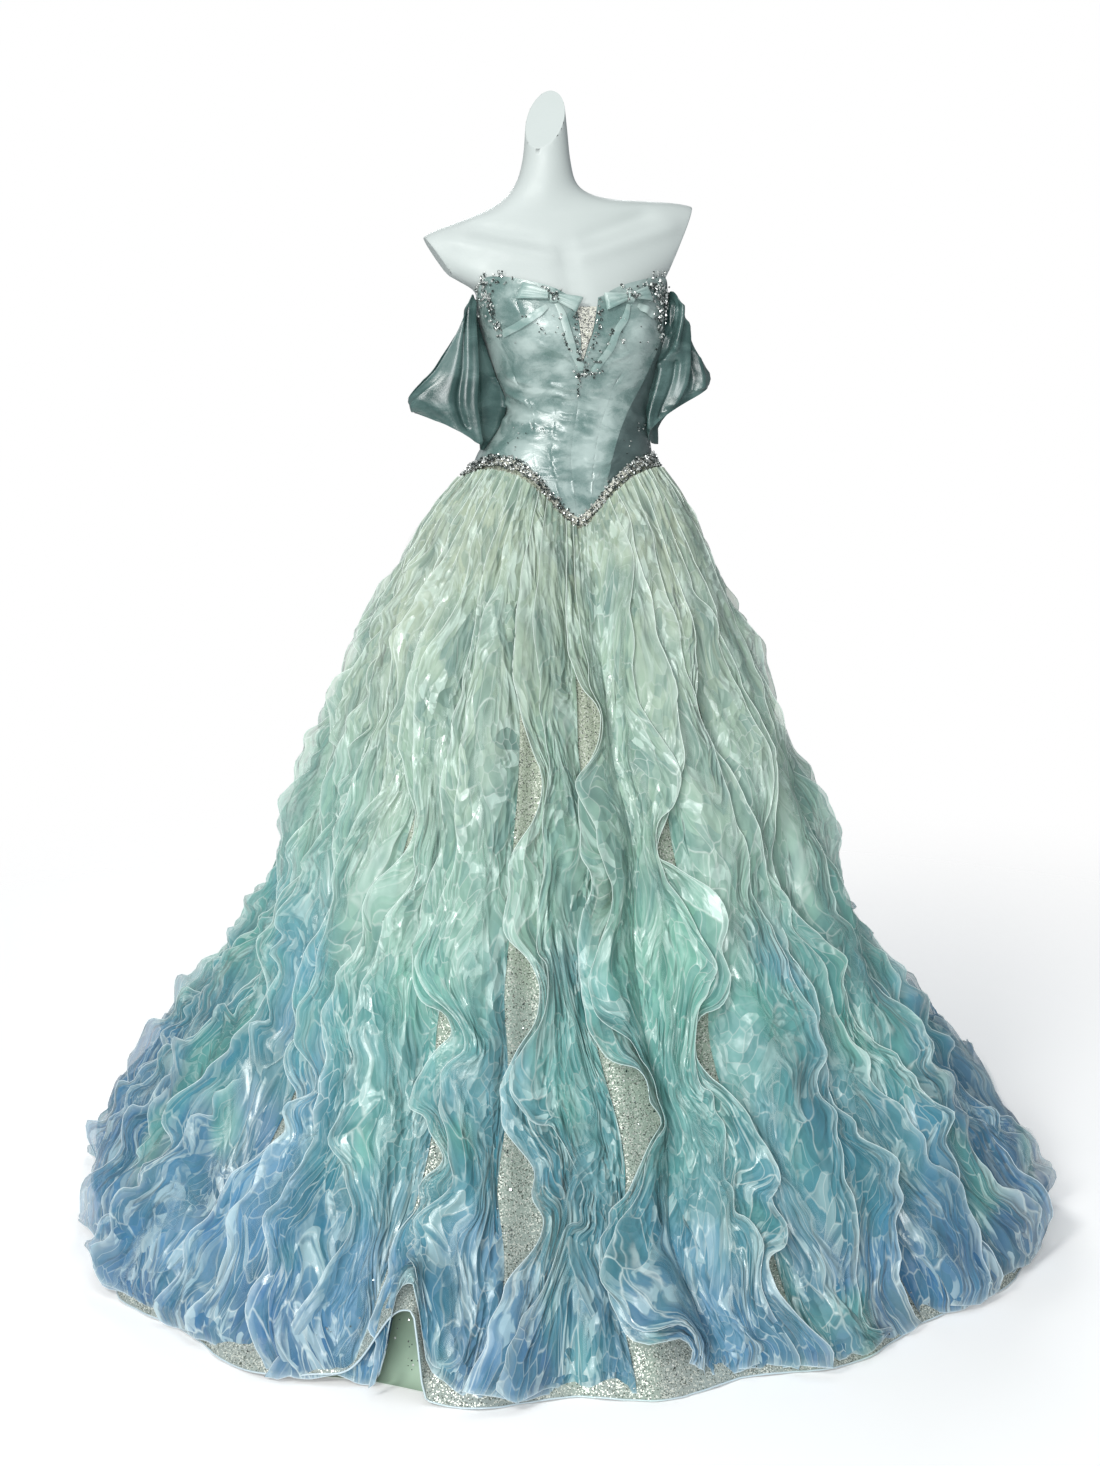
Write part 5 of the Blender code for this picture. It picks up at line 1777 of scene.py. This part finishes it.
def hem_share(degrees):
    """How far down the organza reaches: scallops of uneven width."""
    uneven = 1.9 * np.sin(np.radians(degrees * 4.0))
    lobes = 0.5 + 0.5 * np.cos(2.0 * np.pi * degrees / SCALLOP_DEGREES + uneven)
    return STRIP_END - 0.02 * lobes**2.2 - 0.004 * (0.5 + 0.5 * np.sin(np.radians(degrees * 37.0)))


# %% Gores
GORE_ROWS = 66
GORE_COLUMNS = 34
# the gore that the opening is in has finer columns
OPENING_GORE = 3
OPENING_COLUMNS = 110
# how far the tulle lies under the outer face of the solid gores
TULLE_INSET = 0.0022
PIPING_RADIUS = 0.0013


def build_gores():
    down = np.linspace(0.0, 1.0, GORE_ROWS + 1)[None, :]
    hems = []
    for gore in range(GORES):
        columns = OPENING_COLUMNS if gore == OPENING_GORE else GORE_COLUMNS
        first, last = gore * GORE_LINES, (gore + 1) * GORE_LINES
        lines = np.linspace(first, last, columns + 1)[:, None]
        degrees = line_degrees(lines, down)
        to_seam = np.minimum(lines - first, last - lines)
        soft = 0.0022 * np.sin(np.radians(degrees) * 61.0 + 3.0 * down) * ease(down / 0.2)
        seam_dip = -0.001 * bell(to_seam / 0.12)
        grid = dress_point(degrees, down, seam_dip - TULLE_INSET + soft * ease(to_seam / 1.0))
        hems.append(tube(grid[:, -1], PIPING_RADIUS))
        piece = cloth(f"tulle_gore_{gore + 1}", grid, tulle, [f"skirt_gore_{gore + 1}"])
        declare(grid)
    joined("gore_piping", hems, rolled_edge, True)
    print("gores", GORES, "rows", GORE_ROWS)


build_gores()


# %% [markdown]
# ## Lining behind the opening
#
# Through the opening one sees the plain lining. A whole second skirt would cost triangles that
# nobody sees, so only the panel behind the opening is built, 3 cm inside the gores.

# %% Lining behind the opening
LINING_STEPS = 25
LINING_SPAN = (-52.0, -12.0)
LINING_DROP = (0.7, 0.995)
LINING_INSET = 0.03


def build_lining():
    degrees = np.linspace(*LINING_SPAN, LINING_STEPS)[:, None]
    down = np.linspace(*LINING_DROP, LINING_STEPS)[None, :]
    grid = skirt_point(degrees, down) - skirt_out(degrees, down) * LINING_INSET
    grid[..., 2] = np.maximum(grid[..., 2] - solid_lift(degrees, down), 0.0015)
    piece = cloth("lining_panel", grid, lining)
    declare(grid)
    print("lining, lowest point", round(float(grid[..., 2].min()), 4), "m")


build_lining()


# %% [markdown]
# ## Organza strips
#
# This is what makes the gown: long strips of sheer organza, sewn down along one edge and free
# along the other. The free edge is longer than the seam, so it waves. Each solid strip stands for
# three sheets of different width, nested so that they do not cross, with a thin rolled edge that
# catches the light. Where the strips part, slits show the tulle. Simulated cloth would tangle
# where 84 sheets lie on each other, so every height is a formula, and the nesting is certain.

# %% Strip sizes
# seam line, width, phase
STRIPS_RIGHT = (
    (49, 1.0, 0.0), (52, 1.1, 1.9), (56, 0.92, 3.7), (59, 1.12, 5.2), (62, 1.05, 0.8),
    (66, 0.95, 2.6), (69, 1.1, 4.4), (73, 0.96, 6.0), (76, 1.08, 1.3), (80, 0.94, 3.1),
    (83, 1.04, 4.9), (87, 1.06, 0.4), (91, 1.02, 2.2),
)
STRIPS_LEFT = (
    (47, 1.06, 3.3), (43, 0.96, 5.0), (40, 1.08, 0.6), (37, 1.04, 2.1), (33, 0.94, 4.0),
    (30, 1.12, 5.7), (26, 0.95, 1.1), (23, 1.1, 2.9), (19, 0.94, 4.6), (16, 1.06, 0.2),
    (13, 1.04, 1.7), (9, 1.06, 3.5), (5, 1.02, 5.3),
)
# two narrow strips that lean back over the centre front and the centre back
STRIPS_BETWEEN = ((49, 47, 0.62, 1.4), (95, 93, 0.62, 4.2))
STRIP_START = 0.0125
STRIP_WAVES = 4.5
# at these shares of the way down: width in degrees, rise of the free edge, height of its waves
STRIP_DOWN = (0.0, 0.1, 0.25, 0.5, 0.75, 1.0)
STRIP_ANGLE = (16.0, 16.5, 16.5, 15.5, 13.8, 12.6)
STRIP_RISE = (0.0055, 0.011, 0.021, 0.03, 0.034, 0.034)
STRIP_WAVE = (0.0004, 0.0015, 0.007, 0.013, 0.015, 0.015)
# strip, middle of the slit (share of the way down), half its length, its width in degrees
SLITS = {
    "between": (
        (1, 0.27, 0.055, 3.8), (1, 0.73, 0.075, 3.6), (1, 0.99, 0.03, 5.0), (2, 0.45, 0.08, 6.0),
        (2, 0.83, 0.07, 6.5),
    ),
    "right": (
        (1, 0.44, 0.065, 3.0), (1, 0.69, 0.07, 3.2), (1, 0.93, 0.035, 2.6), (2, 0.3, 0.09, 3.8),
        (2, 0.95, 0.05, 4.6), (3, 0.52, 0.09, 4.0), (4, 0.76, 0.06, 3.6), (5, 0.87, 0.055, 5.8),
        (6, 0.45, 0.08, 3.8), (8, 0.66, 0.09, 4.2), (10, 0.4, 0.08, 4.2), (11, 0.8, 0.07, 4.8),
    ),
    "left": (
        (1, 0.36, 0.075, 3.4), (1, 0.6, 0.065, 4.0), (1, 0.82, 0.07, 3.4), (2, 0.665, 0.035, 4.0),
        (2, 0.8, 0.055, 4.6), (3, 0.45, 0.06, 3.4), (4, 0.79, 0.08, 6.0), (5, 0.35, 0.07, 3.6),
        (6, 0.7, 0.08, 4.4), (8, 0.5, 0.09, 4.4), (9, 0.82, 0.07, 4.8), (11, 0.62, 0.08, 4.4),
        (12, 0.3, 0.07, 4.0),
    ),
}
# share of the strip's width, nested height, tint, points across, unevenness: a row for each sheet
SHEETS = (
    (1.0, 0.0, 0.0, 20, 0.06), (0.74, 0.0065, 0.5, 17, 0.26), (0.47, 0.012, 1.0, 13, 0.46),
)
# middle and half width in degrees: where the hem of the organza is hitched up over the tulle
HITCHES = (
    (-21.5, 3.8), (1.5, 6.0), (58.0, 4.0), (104.0, 5.0), (152.0, 5.0), (-72.0, 3.0), (-128.0, 5.0),
    (OPENING_ANGLE, 1.5 * OPENING_WIDTH),
)
STRIP_LENGTH = 1.15
ROW_LENGTH = 0.007
EDGE_RADIUS = 0.0006


# %% Seams, slits and the floor
def seam_place(line, down):
    """Degrees of the seam that a strip hangs from; it sways a little of its own."""
    own = 1.25 * wander(down / 0.33, 500 + int(line)) * ease((down - 0.06) / 0.25)
    return line_degrees(line, down) + own


def strip_span(side, number, line, next_line, width, down):
    """Degrees from the seam to the free edge, drawn back at the slits."""
    apart = np.abs(seam_place(next_line, down) - seam_place(line, down))
    span = np.interp(down, STRIP_DOWN, STRIP_ANGLE) * width
    if side != "between":
        span = np.maximum(span, apart + 1.6)
    for slit_strip, middle, half, opening in SLITS[side]:
        if slit_strip == number:
            share = bell((down - middle) / half, 2.2)
            span = span + (np.minimum(apart - opening, span) - span) * share
    return span


def fall_to_floor(grid, degrees, t, level, seed):
    """The last part of a sheet sinks to the floor, except where it is hitched up."""
    ends = degrees[:, -1]
    hitched = 0.0 * ends
    for middle, half in HITCHES:
        hitched = np.maximum(hitched, bell(wrapped(ends - middle) / half, 4.0))
    uneven = 0.5 + 0.5 * wander(ends / 8.0, seed + 9)
    goal = 0.003 + 0.003 * level + 0.012 * np.clip(uneven, 0.0, 1.0)
    sink = np.maximum(grid[:, -1, 2] - goal, 0.0) * (1.0 - hitched)
    grid[..., 2] = grid[..., 2] - ease((t - 0.86) / 0.14) * sink[:, None]
    return grid


# %% One organza sheet
def sheet_creases(across, along, run, share, down, phase, seed):
    """Crushed creases and soft drape, and apart from them the small pleats near the waist."""
    crease = 0.0024 * crush(across, along, 0.044, seed, spread=0.3)
    crease = crease + 0.0017 * crush(across, along, 0.021, seed + 5, spread=0.55)
    drape = 0.0024 * wander(across / 0.045 + 0.35 * wander(run / 0.3, seed + 7), seed + 6)
    pleat = 0.0022 * np.sin(2.0 * np.pi * share * 4.0 + phase + 3.0 * wander(run / 0.3, seed + 11))
    return crease + drape, pleat * np.exp(-down / 0.14)


def organza_sheet(side, number, lean, line, next_line, width, phase, level):
    share_of_width, nest, tint, steps, uneven = SHEETS[level]
    seed = 1000 * ("right", "left", "between").index(side) + 10 * number + level
    rng = np.random.default_rng(seed)
    rows = int(STRIP_LENGTH / ROW_LENGTH)
    t = np.linspace(0.0, 1.0, rows + 1)[None, :]
    share = np.linspace(0.0, 1.0, steps)[:, None]
    # the seam that the strip hangs from, and the length of cloth run off along it
    down = STRIP_START + (STRIP_END - STRIP_START) * t
    root = seam_place(line, down)
    spine = skirt_point(root, down)
    lengths = np.linalg.norm(np.diff(spine[0], axis=0), axis=1)
    run = np.concatenate([[0.0], np.cumsum(lengths)])[None, :]
    radius = np.hypot(spine[..., 0], spine[..., 1])
    # how much of the strip's width this sheet has here, and how far the frills have grown
    span = strip_span(side, number, line, next_line, width, down)
    slow = 1.0 + uneven * wander(run / 0.38, seed + 1) * ease(run / 0.15)
    part = np.minimum(share_of_width * slow, 1.0)
    grown = np.interp(down, (0.0, 0.08, 0.22, 0.5, 1.0), (0.0, 0.3, 0.7, 0.95, 1.0))
    low = ease((down - 0.45) / 0.4)
    # long and short waves of the free edge, livelier at the sides and the back than in front
    strength = rng.uniform(0.35, 1.0) * (0.75 + 0.55 * wander(run / 0.45, seed + 2))
    lag = 0.018 * (1.0 - share)
    long_wave = wander((run + lag) / rng.uniform(0.12, 0.16), seed + 3)
    short_wave = wander((run + lag) / rng.uniform(0.06, 0.085), seed + 4)
    turned = ease((np.abs(wrapped(root)) - 28.0) / 40.0)
    lively = (0.3 + 1.1 * turned) + 0.35 * low * (1.0 - turned)
    aside = grown * (0.0085 * strength * long_wave + (0.0042 + 0.004 * low) * lively * short_wave)
    aside = aside * share**1.5
    degrees = root + lean * (span * part * share + np.degrees(aside / np.maximum(radius, 0.1)))
    # the sheet rises from its seam to its free edge, which swells in slow waves
    q = part * share
    rise = np.interp(down, STRIP_DOWN, STRIP_RISE) * np.interp(q, (0.0, 0.5, 1.0), (0.0, 0.56, 1.0))
    wave_at = 2.0 * np.pi * STRIP_WAVES * run / run[0, -1] + phase
    sway = np.interp(q, (0.0, 0.5, 1.0), (0.0, 0.15, 1.0))
    swell = np.interp(down, STRIP_DOWN, STRIP_WAVE) * sway * np.sin(wave_at)
    # at the sides the free edges stand off more in the upper half
    frilled = 1.0 + 0.9 * turned * ease((0.6 - down) / 0.25)
    fluted = 0.6 * long_wave * strength + (0.6 + 0.25 * low) * lively * short_wave
    fluted = 0.5 + 0.5 * np.clip(fluted, -1.0, 1.2)
    flute = (0.0105 + 0.004 * low) * grown * frilled * share**2.2 * fluted
    # places on the flat cloth, for the creases and for the finish
    nominal = np.interp(down, STRIP_DOWN, STRIP_ANGLE) * width * share_of_width
    flat_across = share * np.radians(nominal) * radius + 0.37 * number + 0.11 * level
    flat_run = run + 0.0 * share
    crushed, pleat = sheet_creases(flat_across, flat_run, run, share, down, phase, seed)
    puff = 0.016 * low * bell((down - 0.945) / 0.035) * (0.5 + 0.5 * wander(degrees / 9.0, 77))
    held = ease(share / 0.1)
    height = 0.0012 + nest * ease(q / 0.35) * (0.25 + 0.75 * grown)
    height = height + rise + swell * frilled
    height = height + (flute + crushed * (0.18 + 0.82 * grown) + pleat + puff) * held
    height = height - 0.012 * ease((t - 0.985) / 0.015) * held * low
    # the hem: each inner sheet ends a little higher, and all but the hitched parts reach the floor
    end = hem_share(degrees) - 0.014 * level * (0.6 + 0.4 * wander(degrees / 11.0, seed + 8))
    reach = STRIP_START + (end - STRIP_START) * t + 0.004 * share * grown * short_wave * (1.0 - t)
    grid = dress_point(degrees, np.clip(reach, 0.0, 0.9965), height)
    grid = fall_to_floor(grid, degrees, t, level, seed)
    edge = np.maximum(share**40, ease((t - 0.992) / 0.008) * np.ones_like(share))
    if level == len(SHEETS) - 1:
        edge = -ease((share - 0.55) / 0.42) * np.ones_like(t)
    return grid, edge, (flat_across, flat_run), tint * rng.uniform(0.6, 1.0)


# %% All organza strips
def gores_under(line, next_line):
    """Names of the gores that a strip hangs on."""
    first, last = sorted((line, next_line))
    gores = range(first // GORE_LINES, (last - 1) // GORE_LINES + 1)
    return [f"tulle_gore_{gore + 1}" for gore in gores]


def build_strip(side, number, lean, line, next_line, width, phase):
    edges = []
    made = []
    for level in range(len(SHEETS)):
        grid, edge, flat, tint = organza_sheet(side, number, lean, line, next_line, width, phase, level)
        if lean < 0:
            grid, edge, flat = grid[::-1], edge[::-1], (flat[0][::-1], flat[1][::-1])
        free = grid[-1] if lean > 0 else grid[0]
        bottom = grid[::-1, -1] if lean > 0 else grid[:, -1]
        if level < len(SHEETS) - 1:
            edges.append(tube(np.concatenate([free, bottom[1:]]), EDGE_RADIUS * (1.0 - 0.3 * level)))
        made.append((grid, edge, flat, tint))
    hem = joined(f"rolled_edge_{side}_{number:02d}", edges, rolled_edge, True)
    triangles = 2 * len(hem.data.polygons)
    under = gores_under(line, next_line)
    for level, (grid, edge, flat, tint) in enumerate(made):
        nodes = [f"strip_{side}_{number:02d}"] if level == 0 and side != "between" else []
        piece = cloth(
            f"organza_{side}_{number:02d}_{'abc'[level]}", grid, organza, nodes,
            tint=tint, edge=edge, flat=flat,
        )
        declare(grid)
        triangles += 2 * len(piece.data.polygons)
    return triangles


def build_strips():
    total = 0
    for side, lean, table, last_line in (
        ("right", 1.0, STRIPS_RIGHT, LINES), ("left", -1.0, STRIPS_LEFT, 0),
    ):
        for number, (line, width, phase) in enumerate(table, 1):
            next_line = table[number][0] if number < len(table) else last_line
            total += build_strip(side, number, lean, line, next_line, width, phase)
    for number, (line, next_line, width, phase) in enumerate(STRIPS_BETWEEN, 1):
        total += build_strip("between", number, -1.0, line, next_line, width, phase)
    print("strip triangles", total)


build_strips()


# %% [markdown]
# ## Beads
#
# The waist trim, the top corners, the bows and the edges of the plunge are crowded with cut
# crystals and small metal rings. A crystal is a small ball of twenty flat faces and a ring is a
# coarse torus. Instances would be lighter, but all the beads of one place are joined into one
# mesh, so that each place is one piece.

# %% Bead shapes
GOLDEN = (1.0 + math.sqrt(5.0)) / 2.0
# share of rings among the beads, the smallest bead that can be one, and how much wider it is
RING_SHARE = 0.22
RING_LEAST = 0.0013
RING_WIDER = 1.25


def crystal_shape():
    corners = []
    for a in (-1.0, 1.0):
        for b in (-GOLDEN, GOLDEN):
            corners.extend(((0.0, a, b), (a, b, 0.0), (b, 0.0, a)))
    corners = unit(np.array(corners))
    reach = np.linalg.norm(corners[:, None] - corners[None], axis=-1)
    near = (reach > 0.1) & (reach < 1.1)
    faces = []
    for i in range(12):
        for j in range(i + 1, 12):
            for k in range(j + 1, 12):
                if near[i, j] and near[j, k] and near[i, k]:
                    facing = np.cross(corners[j] - corners[i], corners[k] - corners[i])
                    is_outward = np.dot(facing, corners[i]) > 0.0
                    faces.append((i, j, k) if is_outward else (i, k, j))
    return corners, faces


def ring_shape(around=9, sides=5, thick=0.3):
    turns = np.linspace(0.0, 2.0 * np.pi, around, endpoint=False)[:, None]
    rolls = np.linspace(0.0, 2.0 * np.pi, sides, endpoint=False)[None, :]
    reach = 1.0 - thick + thick * np.cos(rolls)
    points = stack(reach * np.cos(turns), reach * np.sin(turns), thick * np.sin(rolls)).reshape(-1, 3)
    faces = []
    for i in range(around):
        for j in range(sides):
            a, b = i * sides, (i + 1) % around * sides
            k = (j + 1) % sides
            faces.append((a + j, b + j, b + k, a + k))
    return points, faces


CRYSTAL = crystal_shape()
RING = ring_shape()


def beads(name, places, facings, radii, seed):
    """Crystals and rings at places, with the rings lying nearly flat on the cloth."""
    rng = np.random.default_rng(seed)
    shapes = []
    for place, facing, radius in zip(places, facings, radii):
        lean = unit(facing + rng.normal(0.0, 0.35, 3))
        first = unit(np.cross(lean, rng.normal(0.0, 1.0, 3)))
        axes = np.stack([first, np.cross(lean, first), lean])
        is_ring = rng.random() < RING_SHARE and radius > RING_LEAST
        points, faces = RING if is_ring else CRYSTAL
        size = radius * (RING_WIDER if is_ring else 1.0)
        shapes.append((place + points @ axes * size, faces))
    return joined(name, shapes, crystal)


def body_facing(degrees, heights):
    return unit(body_point(degrees, heights, 0.01) - body_point(degrees, heights))


print("faces of a crystal and a ring", len(CRYSTAL[1]), len(RING[1]))


# %% [markdown]
# ## Waist trim
#
# A beaded band covers the seam between bodice and skirt and follows its point in front. The band
# itself is a strip of mesh cloth that closes on itself. Six rows of beads are strewn on it, each
# row a little further out towards the skirt, so that the band is thick with them.

# %% Waist trim
# offset along the body and distance out from it, for each row of beads
TRIM_ROWS = (
    (0.0068, 0.0022), (0.004, 0.0034), (0.0012, 0.005),
    (-0.0016, 0.0062), (-0.0044, 0.0076), (-0.0072, 0.0092),
)
TRIM_BEADS = 186
BAND_COLUMNS = 288
BAND_HALF = 0.0055
# distance out at the top edge of the band, and how much further its lower edge stands off
BAND_OUT = BODICE_WALL + 0.0012
BAND_FLARE = 0.0052


def build_waist_trim():
    degrees = np.linspace(-180.0, 180.0, BAND_COLUMNS + 1)[:-1][:, None]
    drop = np.linspace(BAND_HALF, -BAND_HALF, 7)[None, :]
    clear = BAND_OUT + (BAND_HALF - drop) / (2.0 * BAND_HALF) * BAND_FLARE
    grid = body_point(degrees + 0.0 * drop, waist_edge(degrees) + drop, clear + 0.0 * degrees)
    band = cloth("trim_band", grid, nude_mesh, ["waist_trim"], wrap=True, wall=0.001)
    rng = np.random.default_rng(3)
    turns, heights, outs, sizes = [], [], [], []
    for row, (offset, out) in enumerate(TRIM_ROWS):
        even = np.linspace(-180.0, 180.0, TRIM_BEADS, endpoint=False)
        at = even + row * 0.7 + rng.normal(0.0, 0.5, TRIM_BEADS)
        size = rng.uniform(0.0012, 0.0026, TRIM_BEADS)
        turns.append(at)
        heights.append(waist_edge(at) + offset + rng.normal(0.0, 0.0019, TRIM_BEADS))
        outs.append(BODICE_WALL + out + size * 0.3 + rng.uniform(0.0, 0.0026, TRIM_BEADS))
        sizes.append(size)
    turns, heights, outs, sizes = (np.concatenate(values) for values in (turns, heights, outs, sizes))
    places, facings = body_point(turns, heights, outs), body_facing(turns, heights)
    made = beads("trim_crystals", places, facings, sizes, 4)
    declare(grid, wrap=True)
    print("trim beads", len(sizes))


build_waist_trim()


# %% [markdown]
# ## Bodice crystals
#
# Crystals are sewn in clusters at the top corners, along both edges of the plunge and on the bows,
# with a few strewn over the cups and the waist. Strewing them all at random would lose the
# clusters, so each cluster has a middle and a spread of its own. Little stalks of beads stand over
# the top edge.

# %% Places of the bodice crystals
# degrees, height, spread in degrees, spread in height, how many
CLUSTERS = (
    (46.0, 1.34, 4.5, 0.005, 36), (53.0, 1.325, 4.5, 0.008, 46), (52.0, 1.3, 4.0, 0.011, 40),
    (51.0, 1.278, 3.5, 0.009, 24), (64.0, 1.315, 4.0, 0.014, 24), (36.0, 1.34, 4.0, 0.004, 12),
    (-66.0, 1.343, 2.5, 0.005, 22), (-62.0, 1.326, 2.0, 0.008, 24), (-62.0, 1.305, 1.8, 0.009, 20),
    (-60.0, 1.287, 2.2, 0.006, 16), (-72.0, 1.322, 4.5, 0.012, 22), (-50.0, 1.348, 5.0, 0.004, 14),
    (-20.0, 1.334, 4.0, 0.004, 8), (22.0, 1.336, 4.0, 0.004, 8),
)
# x and z of beads along the bows and the edges of the plunge
PLUNGE_BEADS = (
    (-0.0713, 1.2951), (-0.0288, 1.2965), (-0.0062, 1.2839), (-0.0218, 1.2783), (-0.0175, 1.2629),
    (-0.0119, 1.2503), (0.0037, 1.2545), (0.0023, 1.2419), (0.0108, 1.2243), (0.0061, 1.2187),
    (0.0221, 1.2229), (0.032, 1.2265), (0.0306, 1.2839), (0.0462, 1.277), (0.0405, 1.2615),
    (0.0306, 1.2531), (0.0264, 1.239), (-0.004, 1.302), (0.03, 1.302), (-0.0955, 1.272),
    (0.116, 1.296), (0.062, 1.266), (-0.05, 1.279),
)
KNOT_BEADS = 16
# heights and count of the beads beside the plunge, in two rows this many degrees from its edge
EDGE_HEIGHTS = (1.318, 1.232, 15)
EDGE_ROWS = (0.5, 1.9)
# degrees, heights, distance out, size, how many: beads strewn on each side over cup and waist
STREWN = (
    (12.0, 48.0, 1.262, 1.322, 0.0014, 0.0013, 10), (26.0, 66.0, 1.105, 1.15, 0.0012, 0.0011, 14),
)
# height of the group under the plunge, then the end of the row of drops below it
TIP = 1.219
TIP_BEADS = 16
DROP_END = 1.188
DROP_BEADS = 12
# degrees of the little stalks that stand over the top edge
STALKS = (-68.0, -64.0, -50.0, -47.0, 44.0, 49.0, 55.0, 60.0)
STALK_BEADS = 5


# %% Bodice crystals
def bodice_places(rng):
    """Degrees, height, distance out and size of every bead that is sewn to the satin."""
    rows = []

    def add(degrees, heights, outs, sizes):
        rows.append(np.stack(np.broadcast_arrays(degrees, heights, outs, sizes)))

    for degrees, height, spread, rise, count in CLUSTERS:
        sizes = rng.uniform(0.0012, 0.0025, count)
        add(degrees + rng.normal(0.0, spread, count), height + rng.normal(0.0, rise, count),
            sizes + rng.uniform(0.0, 0.0012, count), sizes)
    for sign in (1.0, -1.0):
        edge = np.linspace(*EDGE_HEIGHTS)
        count = len(edge)
        for offset in EDGE_ROWS:
            sizes = rng.uniform(0.0011, 0.0019, count)
            add(centre_front(sign)(edge) + sign * (offset + rng.uniform(0.0, 0.9, count)),
                edge + rng.normal(0.0, 0.002, count), sizes, sizes)
        for first, last, low, high, out, size, count in STREWN:
            add(sign * rng.uniform(first, last, count), rng.uniform(low, high, count), out, size)
    add(swing(np.full(TIP_BEADS, TIP)) + rng.normal(0.0, 2.4, TIP_BEADS),
        TIP + rng.normal(0.0, 0.003, TIP_BEADS), 0.0022, rng.uniform(0.0014, 0.0024, TIP_BEADS))
    drops = np.linspace(TIP - 0.004, DROP_END, DROP_BEADS)
    add(swing(drops) + rng.normal(0.0, 0.6, DROP_BEADS), drops, 0.0014,
        rng.uniform(0.001, 0.0018, DROP_BEADS))
    tall = np.linspace(0.0, 0.0075, STALK_BEADS)
    for degrees in STALKS:
        add(degrees + 0.4 * np.sin(tall * 900.0), neck_edge(degrees) + tall, 0.0006,
            np.linspace(0.001, 0.0016, STALK_BEADS))
    return np.concatenate(rows, axis=1)


def build_bodice_crystals():
    rng = np.random.default_rng(8)
    at, high, out, size = bodice_places(rng)
    # only the stalks, which come last, may stand over the top edge
    sewn = slice(None, -STALK_BEADS * len(STALKS))
    high[sewn] = np.minimum(high[sewn], neck_edge(at[sewn]) + 0.002)
    places = [body_point(at, high, BODICE_WALL + 0.0008 + out)]
    facings = [body_facing(at, high)]
    radii = [size]

    def add_in_front(x, z, spread, lifts, sizes):
        count = len(spread)
        places.append(front_place(x + spread[:, 0], z + spread[:, 1], rng.uniform(*lifts, count)))
        facings.append(np.tile([0.0, -1.0, 0.1], (count, 1)))
        radii.append(rng.uniform(*sizes, count))

    for x, z in PLUNGE_BEADS:
        count = int(rng.integers(2, 5))
        add_in_front(x, z, rng.normal(0.0, 0.0022, (count, 2)), (0.003, 0.0046), (0.0013, 0.0023))
    for x, z in KNOTS.values():
        spread = rng.normal(0.0, 1.0, (KNOT_BEADS, 2)) * (0.0034, 0.0036)
        add_in_front(x, z, spread, (0.01, 0.0118), (0.0014, 0.0024))
    places, facings, radii = (np.concatenate(values) for values in (places, facings, radii))
    beads("bodice_crystals", places, facings, radii, 9)
    print("bodice beads", len(radii))


build_bodice_crystals()


# %% [markdown]
# ## Sequins
#
# The tulle is strewn with tiny sequins, and half of them gather in lines down the skirt. Painted
# dots would not flash, so each sequin is a real hexagon, tilted a little at random, and all of
# them are one mesh.

# %% Sequins on the tulle
SEQUINS = 9000
# degrees between the lines that the sequins gather in, and how far they stand off the gores
SEQUIN_LINES = 9.0
SEQUIN_OUT = 0.0016
SEQUIN_SIDES = 6


def build_sequins():
    rng = np.random.default_rng(21)
    degrees = rng.uniform(-180.0, 180.0, SEQUINS)
    down = np.sqrt(rng.uniform(0.02, 0.985, SEQUINS))
    is_lined = rng.random(SEQUINS) < 0.5
    lined = np.round(degrees / SEQUIN_LINES) * SEQUIN_LINES + rng.normal(0.0, 0.7, SEQUINS)
    degrees = np.where(is_lined, lined, degrees)
    out = skirt_out(degrees, down)
    centre = skirt_point(degrees, down) + out * SEQUIN_OUT
    face = unit(out + rng.normal(0.0, 0.28, (SEQUINS, 3)))
    first = unit(np.cross(face, [[0.3, 0.2, 0.9]]))
    second = np.cross(face, first)
    radius = rng.uniform(0.0006, 0.0015, SEQUINS)[:, None]
    turns = [math.radians(360.0 / SEQUIN_SIDES * i) for i in range(SEQUIN_SIDES)]
    corners = [centre + radius * (math.cos(a) * first + math.sin(a) * second) for a in turns]
    outline = [tuple(range(SEQUIN_SIDES))]
    shapes = [(place, outline) for place in np.stack(corners, axis=1)]
    joined("sequins", shapes, crystal)
    print("sequins", len(shapes))


build_sequins()


# %% [markdown]
# ## Finish
#
# The box of the dressed gown is kept beside the box of the solids, so that the two can be compared.

# %% Finish
scene_box = [list(corner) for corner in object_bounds()]
print("scene box", [[round(v, 3) for v in c] for c in scene_box])
